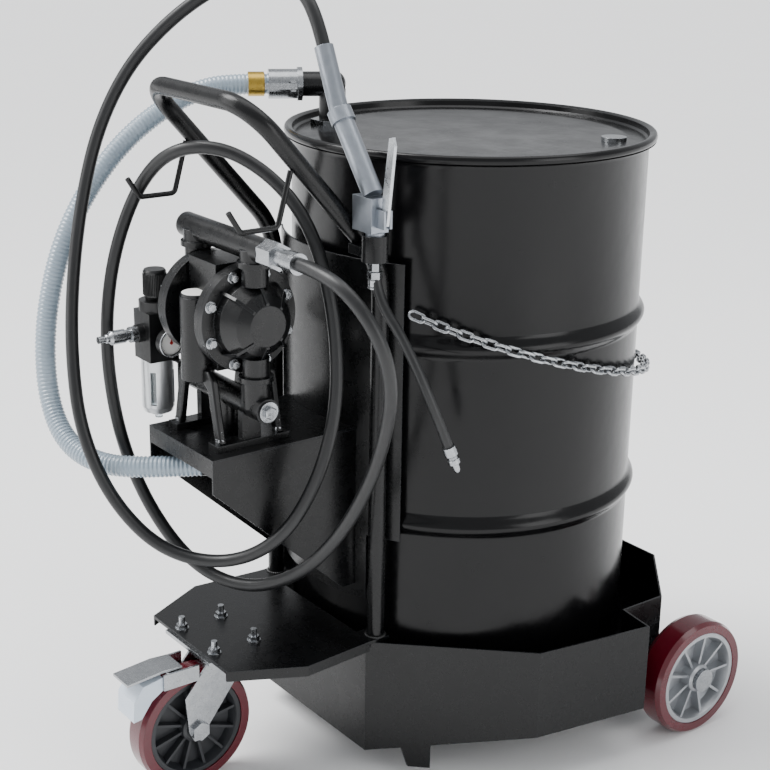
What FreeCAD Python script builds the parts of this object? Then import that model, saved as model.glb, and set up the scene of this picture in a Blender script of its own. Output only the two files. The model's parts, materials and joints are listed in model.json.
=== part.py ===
import FreeCAD, Part
import math
import os
from types import SimpleNamespace

# Mobile gear oil pump: a drum cart with its drum, an air-operated double
# diaphragm pump on a shelf, a filter regulator, a suction hose and a delivery
# hose that ends in a control gun.
#
# Frame: millimetres, +Z up, origin on the ground under the drum's axis.
# +Y runs from the handle end to the fixed wheels, +X is the cart's right side.

V = FreeCAD.Vector
X_AXIS, Y_AXIS, Z_AXIS = V(1, 0, 0), V(0, 1, 0), V(0, 0, 1)

doc = FreeCAD.newDocument("GearOilPump")
sheet = doc.addObject("Spreadsheet::Sheet", "Dims")

# ---------------------------------------------------------------- driving dimensions
GROUPS = {
    "drum": dict(
        drum_base_height=130, drum_height=876, drum_radius=286.5, drum_wall=1.5,
        hoop_height=10, hoop_half_width=13, lower_hoop_z=295, upper_hoop_z=585,
        chime_height=12.5, chime_width=14, head_recess=15, head_thickness=2,
        bung_radius_from_axis=232, bung_angle=217.5, bung_flange_radius=36,
        bung_flange_height=9, small_bung_radius=20, dip_pipe_radius=16.5, dip_clearance=22,
    ),
    "tray": dict(
        sheet=3, wall_top=235, skirt_bottom=40, side_bottom=85, wall_drum_gap=7,
        front_half=150, flare_half=338, flare_y=105, wing_half=372, wing_y=102,
        wheel_wall_half=305, wheel_wall_y=112, rear_corner_y=200, rear_half=180, rear_y=312,
        foot_drop=24, foot_outer_y=262, foot_inner_y=228,
    ),
    "caster_plate": dict(
        plate_thickness=5, plate_front_y=539, plate_front_half=114, plate_wide_y=430,
        plate_wide_half=170, plate_root_half=160, plate_flange=12,
    ),
    "handle": dict(
        tube_radius=13.5, tube_wall=2.5, post_half=144, post_y=283, leg_bend_z=845,
        leg_bend_radius=120, grip_y=505, grip_z=1091, grip_bend_radius=60,
    ),
    "cradle": dict(
        weld_gap=0.3, cradle_low_z=290, cradle_step_z=400, cradle_top_z=843,
        cradle_wide_angle=66, cradle_narrow_angle=44,
    ),
    "shelf": dict(
        shelf_top=576, shelf_half=95, shelf_front_y=545, shelf_lip=25,
        gusset_front_drop=50, gusset_slope_drop=212, gusset_reach=232,
    ),
    "hooks": dict(
        hook_wire=4, hook_root_y=440, hook_inner_y=462, hook_outer_y=522, hook_bar_z=920,
        hook_tip_y=541, hook_tip_z=950, hook_root_z=998, hook_bend=9,
    ),
    "wheels": dict(
        wheel_radius=100, wheel_width=50, tread_depth=18, hub_radius=24, hub_width=56,
        web_half=4, window_radius=19, window_circle=52, axle_radius=10, axle_fit=0.05,
        wheel_track_half=350, axle_y=232, axle_cap_radius=20, axle_cap_width=7, collar_radius=16,
        wheel_end_play=0.3,
    ),
    "caster": dict(
        caster_y=487, caster_trail=54, mount_half_x=68, mount_half_y=56, mount_thickness=6,
        race_radius=40, race_height=16, crown_thickness=5, crown_half_y=34, fork_thickness=4,
        fork_gap=2, fork_foot_radius=18, caster_wheel_width=46, bolt_half_x=50, bolt_half_y=36,
        bolt_radius=5, bolt_head_radius=9, bolt_head_height=8, bolt_stud=12, race_gap=0.3,
        pedal_half=42, pedal_thickness=4, pedal_pivot_y=575, pedal_pivot_z=202,
        pedal_tip_y=660, pedal_tip_z=222, pedal_pin_radius=5,
    ),
    "pump": dict(
        pump_y=460, pump_z=770, air_half=42, hub_outer=38, cap_radius=80, dome_radius=60, flange_width=11,
        cap_reach=115, cap_nose_radius=30, cap_wall=8, boss_x=80, boss_radius=20, boss_start=54,
        boss_reach=82, manifold_radius=19, manifold_rise=108, manifold_flange=8, manifold_end=112,
        lower_drop=130, neck_radius=22, ball_radius=13, ball_chamber=17, diaphragm_radius=58,
        diaphragm_thickness=5, diaphragm_gap=0.4, shaft_radius=8, shaft_fit=0.05,
        valve_radius=24, valve_front=52, valve_low=98, valve_high=33, valve_label=5,
        muffler_radius=14, muffler_length=42, muffler_rise=30, foot_half_x=60,
        foot_half_y=50, foot_pad=13, foot_bolt_radius=4, cap_bolt_circle=70,
        cap_bolt_radius=6.5, cap_bolt_height=6, cap_bolt_count=8, outlet_hex=21,
        outlet_hex_length=34, outlet_nipple=13.5, outlet_nipple_length=48, block_half=38,
        block_front=40,
    ),
    "regulator": dict(
        unit_x=142, unit_y=502, unit_body_z=665, unit_body_height=78, unit_half=25,
        port_radius=14, port_reach=36, bonnet_radius=26, bonnet_height=16, knob_radius=18,
        knob_height=48, bowl_radius=20, bowl_height=98, bowl_wall=2.5, guard_radius=25.5,
        guard_gap=0.3, gauge_radius=22, gauge_depth=13, gauge_z=700, gauge_stem=12,
        gauge_recess=4, needle_length=15, coupler_radius=11, coupler_length=64, port_z=709,
        air_pipe_radius=6, air_pipe_bend=14, air_run_y=366, knob_gap=0.3, bracket_sheet=3,
        bracket_width=10,
    ),
    "suction": dict(
        suction_hose_radius=17, elbow_rise=53, elbow_body=22, elbow_reach=50, coupler_body=27,
        coupler_span=54.8, clamp_start=7, clamp_width=26, clamp_thickness=2.5,
        lever_length=52, lever_width=10, lever_thickness=5, lever_swing=7,
        lever_pin_radius=2, ear_thickness=3, ear_half=4, lever_pin_offset=29.8,
        shelf_elbow_z=520, shelf_elbow_reach=45, shelf_elbow_radius=15.5,
    ),
    "delivery": dict(
        hose_radius=10, ferrule_radius=14, ferrule_length=26, chain_top_z=770, chain_drop=170,
        chain_wire=2.5, link_length=30, link_width=18, link_play=0.6, chain_clear=8,
        chain_start_angle=2.2,
    ),
    "gun": dict(
        gun_y=332, collar_x=106, collar_z=1067, swivel_x=67, swivel_z=1153, barrel_radius=15,
        barrel_x=190, barrel_z=960, swivel_radius=14, head_half=23, head_depth=15,
        head_low_z=908, head_high_z=958, head_x=184, outlet_x=196, outlet_radius=14,
        holder_radius=19, holder_wall=2.5, holder_low_z=866, holder_high_z=904,
        trigger_pivot_x=180, trigger_pivot_z=930, trigger_tip_x=228, trigger_tip_z=1047,
        trigger_width=12, trigger_plate=5, spout_radius=8, spout_nut_radius=12,
        spout_nut_height=26, tip_radius=10, tip_length=30, seat_gap=0.1,
    ),
}


# Chosen points of the two hoses and the spout, from fitting to fitting.
SUCTION_ROUTE = [
    (-235, -233, 1059), (-258, -275, 1059), (-277, -322, 1055), (-292, -380, 1033),
    (-305, -453, 984), (-314, -514, 917), (-316, -568, 832), (-312, -603, 733),
    (-298, -621, 640), (-266, -628, 566), (-212, -628, 526), (-150, -613, 511),
    (-88, -574, 512), (-26, -493, 520),
]
DELIVERY_ROUTE = [
    (194, -460, 878), (260, -460, 878), (315, -445, 846), (343, -424, 790), (333, -401, 720),
    (296, -384, 640), (246, -373, 550), (186, -383, 449), (118, -409, 366), (36, -452, 322),
    (-55, -494, 337), (-125, -530, 416), (-168, -556, 525), (-188, -565, 643), (-190, -561, 747),
    (-180, -545, 846), (-166, -510, 937), (-107, -487, 995), (-42, -441, 1005), (12, -393, 970),
    (64, -364, 913), (108, -356, 835), (136, -355, 738), (152, -366, 633), (149, -398, 526),
    (119, -444, 432), (44, -494, 378), (-34, -562, 389), (-88, -616, 466), (-126, -645, 573),
    (-178, -630, 684), (-222, -600, 796), (-234, -573, 909), (-232, -542, 1014), (-214, -497, 1106),
    (-175, -441, 1178), (-121, -387, 1229), (-61, -353, 1250), (3, -337, 1236), (44.7, -332, 1202.2),
    (67, -332, 1153),
]
SPOUT_ROUTE = [(216, -330, 800), (246, -318, 762), (287, -295, 673), (301, -262, 579)]

d = SimpleNamespace()
row = 0
for group, values in GROUPS.items():
    row += 1
    sheet.set(f"A{row}", group)
    for alias, number in values.items():
        row += 1
        sheet.set(f"A{row}", alias)
        sheet.set(f"B{row}", str(number))
        sheet.setAlias(f"B{row}", alias)
        setattr(d, alias, number)
doc.recompute()

NODES = {}


# ---------------------------------------------------------------- helpers
def expr(text):
    """Write a sum such as 'sheet + 2' as an expression on the sheet."""
    out, word = "", ""
    for char in f"{text} ":
        if char.isalnum() or char == "_":
            word += char
            continue
        out += f"Dims.{word}" if hasattr(d, word) else word
        out += char
        word = ""
    return out.strip()


def num(text):
    """The present value of such a sum, for geometry that no property holds."""
    return float(sheet.evalExpression(expr(text)))


def vec(*texts):
    return V(*[num(text) for text in texts])


def bind(obj, prop, text):
    obj.setExpression(prop, expr(text))


def put(obj, place):
    for axis, text in zip("xyz", place):
        bind(obj, f"Placement.Base.{axis}", text)
    return obj


def aim(obj, direction):
    """Turn an object so that its own +Z points along a direction."""
    obj.Placement.Rotation = FreeCAD.Rotation(Z_AXIS, V(*direction))
    return obj


def box(name, size, corner):
    obj = doc.addObject("Part::Box", name)
    for prop, text in zip(("Length", "Width", "Height"), size):
        bind(obj, prop, text)
    return put(obj, corner)


def aimed_box(name, sizes, corner, turn):
    """Box of three sheet sizes, turned first and then set by its corner."""
    obj = doc.addObject("Part::Box", name)
    for side, size in zip(("Length", "Width", "Height"), sizes):
        bind(obj, side, size)
    obj.Placement.Rotation = turn
    return put(obj, corner)


def rod(name, radius, length, base, direction=(0, 0, 1)):
    obj = doc.addObject("Part::Cylinder", name)
    bind(obj, "Radius", radius)
    bind(obj, "Height", length)
    return put(aim(obj, direction), base)


def cone(name, low, high, length, base, direction=(0, 0, 1)):
    obj = doc.addObject("Part::Cone", name)
    bind(obj, "Radius1", low)
    bind(obj, "Radius2", high)
    bind(obj, "Height", length)
    return put(aim(obj, direction), base)


def hexagon(name, radius, length, base, direction=(0, 0, 1)):
    obj = doc.addObject("Part::Prism", name)
    obj.Polygon = 6
    bind(obj, "Circumradius", radius)
    bind(obj, "Height", length)
    return put(aim(obj, direction), base)


def ball(name, radius, centre):
    obj = doc.addObject("Part::Sphere", name)
    bind(obj, "Radius", radius)
    return put(obj, centre)


def fuse(name, *parts):
    obj = doc.addObject("Part::MultiFuse", name)
    obj.Shapes = list(parts)
    return obj


def cut(name, base, *tools):
    obj = doc.addObject("Part::Cut", name)
    obj.Base = base
    obj.Tool = tools[0] if len(tools) == 1 else fuse(f"{name}_tool", *tools)
    return obj


def group_of(name, parts):
    obj = doc.addObject("Part::Compound", name)
    obj.Links = list(parts)
    return obj


def plane(body, role):
    return next(f for f in body.Origin.OriginFeatures if f.Role == role)


def outline(body, role, points, name):
    """A closed sketch whose corners are bound to pairs of sums."""
    sketch = body.newObject("Sketcher::SketchObject", name)
    sketch.AttachmentSupport = [(plane(body, role), "")]
    sketch.MapMode = "FlatFace"
    corners = [V(num(u), num(v), 0) for u, v in points]
    count = len(corners)
    for i, corner in enumerate(corners):
        sketch.addGeometry(Part.LineSegment(corner, corners[(i + 1) % count]), False)
    for i in range(count):
        sketch.addConstraint(_constraint("Coincident", i, 2, (i + 1) % count, 1))
    for i, (u, v) in enumerate(points):
        for kind, text, at in (("DistanceX", u, corners[i].x), ("DistanceY", v, corners[i].y)):
            index = sketch.addConstraint(_constraint(kind, -1, 1, i, 1, at))
            sketch.setExpression(f"Constraints[{index}]", expr(text))
    return sketch


def _constraint(*args):
    import Sketcher
    return Sketcher.Constraint(*args)


def plate(name, role, points, length, place=("0", "0", "0"), middle=False):
    """A PartDesign body: one outline padded, both ways from its plane if middle."""
    body = doc.addObject("PartDesign::Body", name)
    sketch = outline(body, role, points, f"{name}_outline")
    pad = body.newObject("PartDesign::Pad", f"{name}_pad")
    pad.Profile = sketch
    pad.SideType = "Symmetric" if middle else "One side"
    bind(pad, "Length", length)
    body.Tip = pad
    return put(body, place)


def turned(name, points, place=("0", "0", "0"), direction=(0, 0, 1)):
    """A PartDesign body: an outline of (radius, height) revolved about its own axis."""
    body = doc.addObject("PartDesign::Body", name)
    sketch = outline(body, "XZ_Plane", points, f"{name}_outline")
    revolve = body.newObject("PartDesign::Revolution", f"{name}_turn")
    revolve.Profile = sketch
    revolve.ReferenceAxis = (sketch, ["V_Axis"])
    revolve.Angle = 360
    body.Tip = revolve
    return put(aim(body, direction), place)


def path_of(points, radii):
    """A wire of straight runs joined by tangent arcs."""
    edges, last = [], points[0]
    for i in range(1, len(points) - 1):
        corner, radius = points[i], radii[i - 1]
        back = (points[i - 1] - corner).normalize()
        ahead = (points[i + 1] - corner).normalize()
        half_turn = (math.pi - back.getAngle(ahead)) / 2
        reach = radius * math.tan(half_turn)
        start, stop = corner + back * reach, corner + ahead * reach
        bisector = (back + ahead).normalize()
        middle = corner + bisector * (radius / math.cos(half_turn) - radius)
        if start.distanceToPoint(last) > 1e-6:
            edges.append(Part.LineSegment(last, start).toShape())
        edges.append(Part.Arc(start, middle, stop).toShape())
        last = stop
    edges.append(Part.LineSegment(last, points[-1]).toShape())
    return Part.Wire(edges)


def pipe(name, points, radii, radius):
    """A round bar swept along runs and arcs; its section is bound to the sheet."""
    spine = doc.addObject("Part::Feature", f"{name}_spine")
    spine.Shape = path_of(points, radii)
    section = doc.addObject("Part::Circle", f"{name}_section")
    bind(section, "Radius", radius)
    start = (points[1] - points[0]).normalize()
    section.Placement = FreeCAD.Placement(points[0], FreeCAD.Rotation(Z_AXIS, start))
    sweep = doc.addObject("Part::Sweep", name)
    sweep.Sections = [section]
    sweep.Spine = (spine, [f"Edge{i + 1}" for i in range(len(spine.Shape.Edges))])
    sweep.Solid = True
    sweep.Frenet = False
    return sweep


def hose(name, route, radius):
    """A hose along chosen points: every arc is as large as its two runs allow."""
    points = [V(*point) for point in route]
    radii = []
    for before, corner, after in zip(points, points[1:], points[2:]):
        turn = (corner - before).getAngle(after - corner)
        shorter = min(corner.distanceToPoint(before), corner.distanceToPoint(after))
        radii.append(0.45 * shorter / math.tan(turn / 2))
    sweep = pipe(name, points, radii, radius)
    length = sum(edge.Length for edge in path_of(points, radii).Edges)
    print(f"{name}: length {length:.0f}, radii", [round(r) for r in radii])
    CORDS.append((sweep, num(radius), length))
    return sweep


def node(name, obj):
    """Give a finished sub-part its label, which names its file."""
    obj.Label = name
    NODES[name] = obj
    return obj


CORDS = []
FRONT_Y = "drum_radius + chime_height + wall_drum_gap"
DRUM_TOP = "drum_base_height + drum_height"


# ---------------------------------------------------------------- cart
def build_tray():
    half = [
        ("front_half", f"-({FRONT_Y})"), ("flare_half", "-flare_y"), ("wing_half", "wing_y"),
        ("wheel_wall_half", "wheel_wall_y"), ("wheel_wall_half", "rear_corner_y"),
        ("rear_half", "rear_y"),
    ]
    ring = half + [(f"-({x})", y) for x, y in reversed(half)]
    low = "skirt_bottom - foot_drop"
    walls = plate("tray_wall_blank", "XY_Plane", ring, f"wall_top - ({low})", ("0", "0", low))
    doc.recompute()
    pad = walls.Tip
    flat = [f"Face{i + 1}" for i, face in enumerate(pad.Shape.Faces)
            if abs(face.normalAt(0, 0).z) > 0.9]
    shell = walls.newObject("PartDesign::Thickness", "tray_wall_sheet")
    shell.Base = (pad, flat)
    shell.Join = 1
    shell.Reversed = True
    bind(shell, "Value", "sheet")
    walls.Tip = shell

    rise = f"(side_bottom - skirt_bottom) / ({FRONT_Y} - flare_y)"
    edge = lambda y: f"skirt_bottom + {rise} * ({FRONT_Y} - {y})"
    below = [
        (f"-({FRONT_Y}) - 1", f"{low} - 1"), (f"-({FRONT_Y}) - 1", "skirt_bottom"),
        ("-foot_outer_y", edge("foot_outer_y")), ("-foot_outer_y + 8", low),
        ("-foot_inner_y", low), ("-foot_inner_y", edge("foot_inner_y")),
        ("-flare_y", "side_bottom"), ("rear_y + 1", "side_bottom"), ("rear_y + 1", f"{low} - 1"),
    ]
    wedge = plate("tray_wall_below", "YZ_Plane", below, "2 * wing_half + 10", middle=True)
    bore = rod("tray_axle_bore", "axle_radius + axle_fit", "2 * wing_half",
               ("-wing_half", "axle_y", "wheel_radius"), (1, 0, 0))
    node("tray_wall", cut("tray_wall_cut", walls, wedge, bore))

    sheet_blank = plate("tray_floor_blank", "XY_Plane", ring, "sheet",
                        ("0", "0", "drum_base_height - sheet"))
    node("tray_floor", cut("tray_floor_cut", sheet_blank, NODES["tray_wall"]))


def build_caster_plate():
    root = f"{FRONT_Y} - sheet"
    ear_y, ear_in = "post_y - tube_radius - 2", "post_half - tube_radius - 10"
    half = [
        (ear_in, f"-({root})"), (ear_in, f"-({ear_y})"), ("plate_root_half", f"-({ear_y})"),
        ("plate_root_half", f"-({FRONT_Y})"), ("plate_wide_half", "-plate_wide_y"),
        ("plate_front_half", "-plate_front_y"),
    ]
    ring = half + [(f"-({x})", y) for x, y in reversed(half)]
    top = plate("caster_plate_top", "XY_Plane", ring, "plate_thickness", ("0", "0", "wall_top"))
    flanges = []
    for side in (1, -1):
        strip = [
            (f"{side} * plate_root_half", f"-({FRONT_Y})"),
            (f"{side} * plate_wide_half", "-plate_wide_y"),
            (f"{side} * plate_front_half", "-plate_front_y"),
            (f"{side} * (plate_front_half - 1.2 * sheet)", "-plate_front_y"),
            (f"{side} * (plate_wide_half - sheet)", "-plate_wide_y + 0.4 * sheet"),
            (f"{side} * (plate_root_half - sheet)", f"-({FRONT_Y})"),
        ]
        flanges.append(plate(f"caster_plate_flange{side % 3}", "XY_Plane", strip, "plate_flange",
                             ("0", "0", "wall_top - plate_flange")))
    holes = [rod(f"caster_plate_post_hole{side % 3}", "tube_radius + weld_gap",
                 "3 * plate_thickness", (f"{side} * post_half", "-post_y",
                                         "wall_top - plate_thickness")) for side in (1, -1)]
    holes += [rod(f"caster_plate_bolt_hole{i}", "bolt_radius + 0.1", "3 * plate_thickness",
                  (x, y, "wall_top - plate_thickness")) for i, (x, y) in enumerate(bolt_places())]
    node("caster_plate", cut("caster_plate_cut", fuse("caster_plate_sheet", top, *flanges), *holes))


def bolt_places():
    return [(f"{sx} * bolt_half_x", f"-caster_y + {sy} * bolt_half_y")
            for sx in (1, -1) for sy in (1, -1)]


def handle_points():
    right = [vec("post_half", "-post_y", "drum_base_height"),
             vec("post_half", "-post_y", "leg_bend_z"), vec("post_half", "-grip_y", "grip_z")]
    return right + [V(-p.x, p.y, p.z) for p in reversed(right)]


def build_handle():
    radii = [num("leg_bend_radius"), num("grip_bend_radius"), num("grip_bend_radius"),
             num("leg_bend_radius")]
    outer = pipe("handle_outer", handle_points(), radii, "tube_radius")
    inner = pipe("handle_inner", handle_points(), radii, "tube_radius - tube_wall")
    node("handle_frame", cut("handle_tube", outer, inner))


def cradle_outer():
    return "sqrt(post_half ^ 2 + post_y ^ 2) - tube_radius - weld_gap"


def sector(name, radius, angle, low, high):
    obj = rod(name, radius, f"{high} - {low}", ("0", "0", low))
    bind(obj, "Angle", angle)
    obj.Placement.Rotation = FreeCAD.Rotation(Z_AXIS, -90 - num(angle) / 2)
    return obj


def build_cradle():
    outer = cradle_outer()
    wide = sector("cradle_wide", outer, "cradle_wide_angle", "cradle_step_z", "cradle_top_z")
    narrow = sector("cradle_narrow", outer, "cradle_narrow_angle", "cradle_low_z",
                    "cradle_step_z")
    core = rod("cradle_core", f"{outer} - sheet", DRUM_TOP, ("0", "0", "0"))
    node("drum_cradle", cut("cradle_cut", fuse("cradle_sheet", wide, narrow), core))


def build_shelf():
    back = rod("shelf_back", f"{cradle_outer()} + weld_gap", DRUM_TOP, ("0", "0", "0"))
    top = box("shelf_sheet", ("2 * shelf_half", "shelf_front_y", "sheet"),
              ("-shelf_half", "-shelf_front_y", "shelf_top - sheet"))
    lip = box("shelf_lip_sheet", ("2 * (shelf_half - sheet)", "sheet", "shelf_lip"),
              ("-shelf_half + sheet", "-shelf_front_y", "shelf_top - sheet - shelf_lip"))
    holes = [rod("shelf_pipe_hole", "shelf_elbow_radius + 1", "4 * sheet",
                 ("0", "-pump_y", "shelf_top - 2 * sheet"))]
    holes += [rod(f"shelf_bolt_hole{i}", "foot_bolt_radius + 0.1", "4 * sheet",
                  (x, y, "shelf_top - 2 * sheet")) for i, (x, y) in enumerate(foot_places())]
    node("pump_shelf", cut("pump_shelf_cut", fuse("pump_shelf_sheet", top, lip), back, *holes))

    low = "shelf_top - sheet - gusset_front_drop"
    side = [
        ("-shelf_front_y", "shelf_top - sheet"), ("-shelf_front_y", low),
        ("-shelf_front_y + gusset_reach", f"{low} - gusset_slope_drop"),
        ("-shelf_front_y + gusset_reach + 40", f"{low} - gusset_slope_drop"),
        ("-shelf_front_y + gusset_reach + 40", "shelf_top - sheet"),
    ]
    sides = []
    for sign in (1, -1):
        blank = plate(f"gusset_blank{sign % 3}", "YZ_Plane", side, "sheet",
                      (f"{sign} * (shelf_half - sheet / 2)", "0", "0"), middle=True)
        sides.append(cut(f"gusset{sign % 3}", blank, back))
    node("shelf_gussets", group_of("gusset_pair", sides))


def foot_places():
    return [(f"{sx} * foot_half_x", f"-pump_y + {sy} * foot_half_y")
            for sx in (1, -1) for sy in (1, -1)]


def build_hooks():
    bars = []
    for sign in (1, -1):
        x = f"{sign} * post_half"
        points = [vec(x, "-hook_root_y", "hook_root_z"), vec(x, "-hook_inner_y", "hook_bar_z"),
                  vec(x, "-hook_outer_y", "hook_bar_z"), vec(x, "-hook_tip_y", "hook_tip_z")]
        radii = [num("hook_bend")] * 2
        bar = pipe(f"hook_bar{sign % 3}", points, radii, "hook_wire")
        leg = pipe(f"hook_leg{sign % 3}", leg_points(sign), [num("leg_bend_radius")],
                   "tube_radius + weld_gap")
        bars.append(cut(f"hook{sign % 3}", bar, leg))
    node("hose_hooks", group_of("hook_pair", bars))


def leg_points(sign):
    x = f"{sign} * post_half"
    return [vec(x, "-post_y", "cradle_top_z - 200"), vec(x, "-post_y", "leg_bend_z"),
            vec(x, "-grip_y", "grip_z")]


def build_axle():
    half = "wheel_track_half + wheel_width / 2"
    inner = "wheel_wall_half + weld_gap"
    shaft = rod("axle_shaft", "axle_radius", f"2 * ({half} + 2)",
                (f"-({half} + 2)", "axle_y", "wheel_radius"), (1, 0, 0))
    parts = [shaft]
    for sign in (1, -1):
        collar_end = "wheel_track_half - hub_width / 2 - wheel_end_play"
        parts.append(rod(f"axle_collar{sign % 3}", "collar_radius", f"{collar_end} - ({inner})",
                         (f"{sign} * ({inner})", "axle_y", "wheel_radius"), (sign, 0, 0)))
        parts.append(rod(f"axle_cap{sign % 3}", "axle_cap_radius", "axle_cap_width",
                         (f"{sign} * (wheel_track_half + hub_width / 2 + wheel_end_play)",
                          "axle_y", "wheel_radius"), (sign, 0, 0)))
    node("rear_axle", fuse("rear_axle_bar", *parts))


# ---------------------------------------------------------------- drum
def build_drum():
    outer, inner = "drum_radius", "drum_radius - drum_wall"
    hoop, base = "drum_radius + hoop_height", "drum_base_height"
    chime = "drum_radius + chime_height"
    floor_z = f"{base} + head_recess"
    profile = [
        ("0", floor_z), (f"{inner} - 2", floor_z), (f"{inner} - 2", base), (chime, base),
        (chime, f"{base} + chime_width - 2"), (outer, f"{base} + chime_width + 3"),
    ]
    for level in ("lower_hoop_z", "upper_hoop_z"):
        profile += [
            (outer, f"{base} + {level} - hoop_half_width"), (hoop, f"{base} + {level} - 3"),
            (hoop, f"{base} + {level} + 3"), (outer, f"{base} + {level} + hoop_half_width"),
        ]
    lid_z = f"{DRUM_TOP} - head_recess"
    profile += [(outer, lid_z), (inner, lid_z)]
    for level in ("upper_hoop_z", "lower_hoop_z"):
        profile += [
            (inner, f"{base} + {level} + hoop_half_width"),
            (f"{hoop} - drum_wall", f"{base} + {level} + 3"),
            (f"{hoop} - drum_wall", f"{base} + {level} - 3"),
            (inner, f"{base} + {level} - hoop_half_width"),
        ]
    profile += [(inner, f"{floor_z} + head_thickness"), ("0", f"{floor_z} + head_thickness")]
    node("drum_shell", turned("drum_shell_body", profile))

    lid = turned("drum_head_blank", [
        ("0", lid_z), (chime, lid_z), (chime, f"{DRUM_TOP} - 2"), (f"{chime} - 2", DRUM_TOP),
        (f"{inner} - 2", DRUM_TOP), (f"{inner} - 2", f"{lid_z} + head_thickness"),
        ("0", f"{lid_z} + head_thickness"),
    ])
    large, small = bung_place(1), bung_place(-1)
    holes = [rod("drum_head_large_hole", "dip_pipe_radius + drum_wall", "60", (*large, f"{lid_z} - 20")),
             rod("drum_head_small_hole", "small_bung_radius - 6", "60", (*small, f"{lid_z} - 20"))]
    node("drum_head", cut("drum_head_cut", lid, *holes))

    seat = f"{lid_z} + head_thickness"
    ring = cut("large_bung_ring", hexagon("large_bung_hex", "bung_flange_radius",
                                          "bung_flange_height", (*large, seat)),
               rod("large_bung_bore", "dip_pipe_radius + seat_gap", "60", (*large, f"{seat} - 20")))
    plug = fuse("small_bung_plug", rod("small_bung_flange", "small_bung_radius",
                                       "bung_flange_height - 2", (*small, seat)),
                rod("small_bung_stem", "small_bung_radius - 6 - seat_gap", "12", (*small, f"{seat} - 12")))
    node("drum_bungs", group_of("bung_pair", [ring, plug]))


def bung_place(sign):
    return (f"{sign} * bung_radius_from_axis * cos(bung_angle)",
            f"{sign} * bung_radius_from_axis * sin(bung_angle)")


def hose_heading():
    """Unit vector of the camlock, level, away from the large bung."""
    start = V(num(bung_place(1)[0]), num(bung_place(1)[1]), 0)
    first = V(SUCTION_ROUTE[0][0], SUCTION_ROUTE[0][1], 0)
    return (first - start).normalize()


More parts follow.
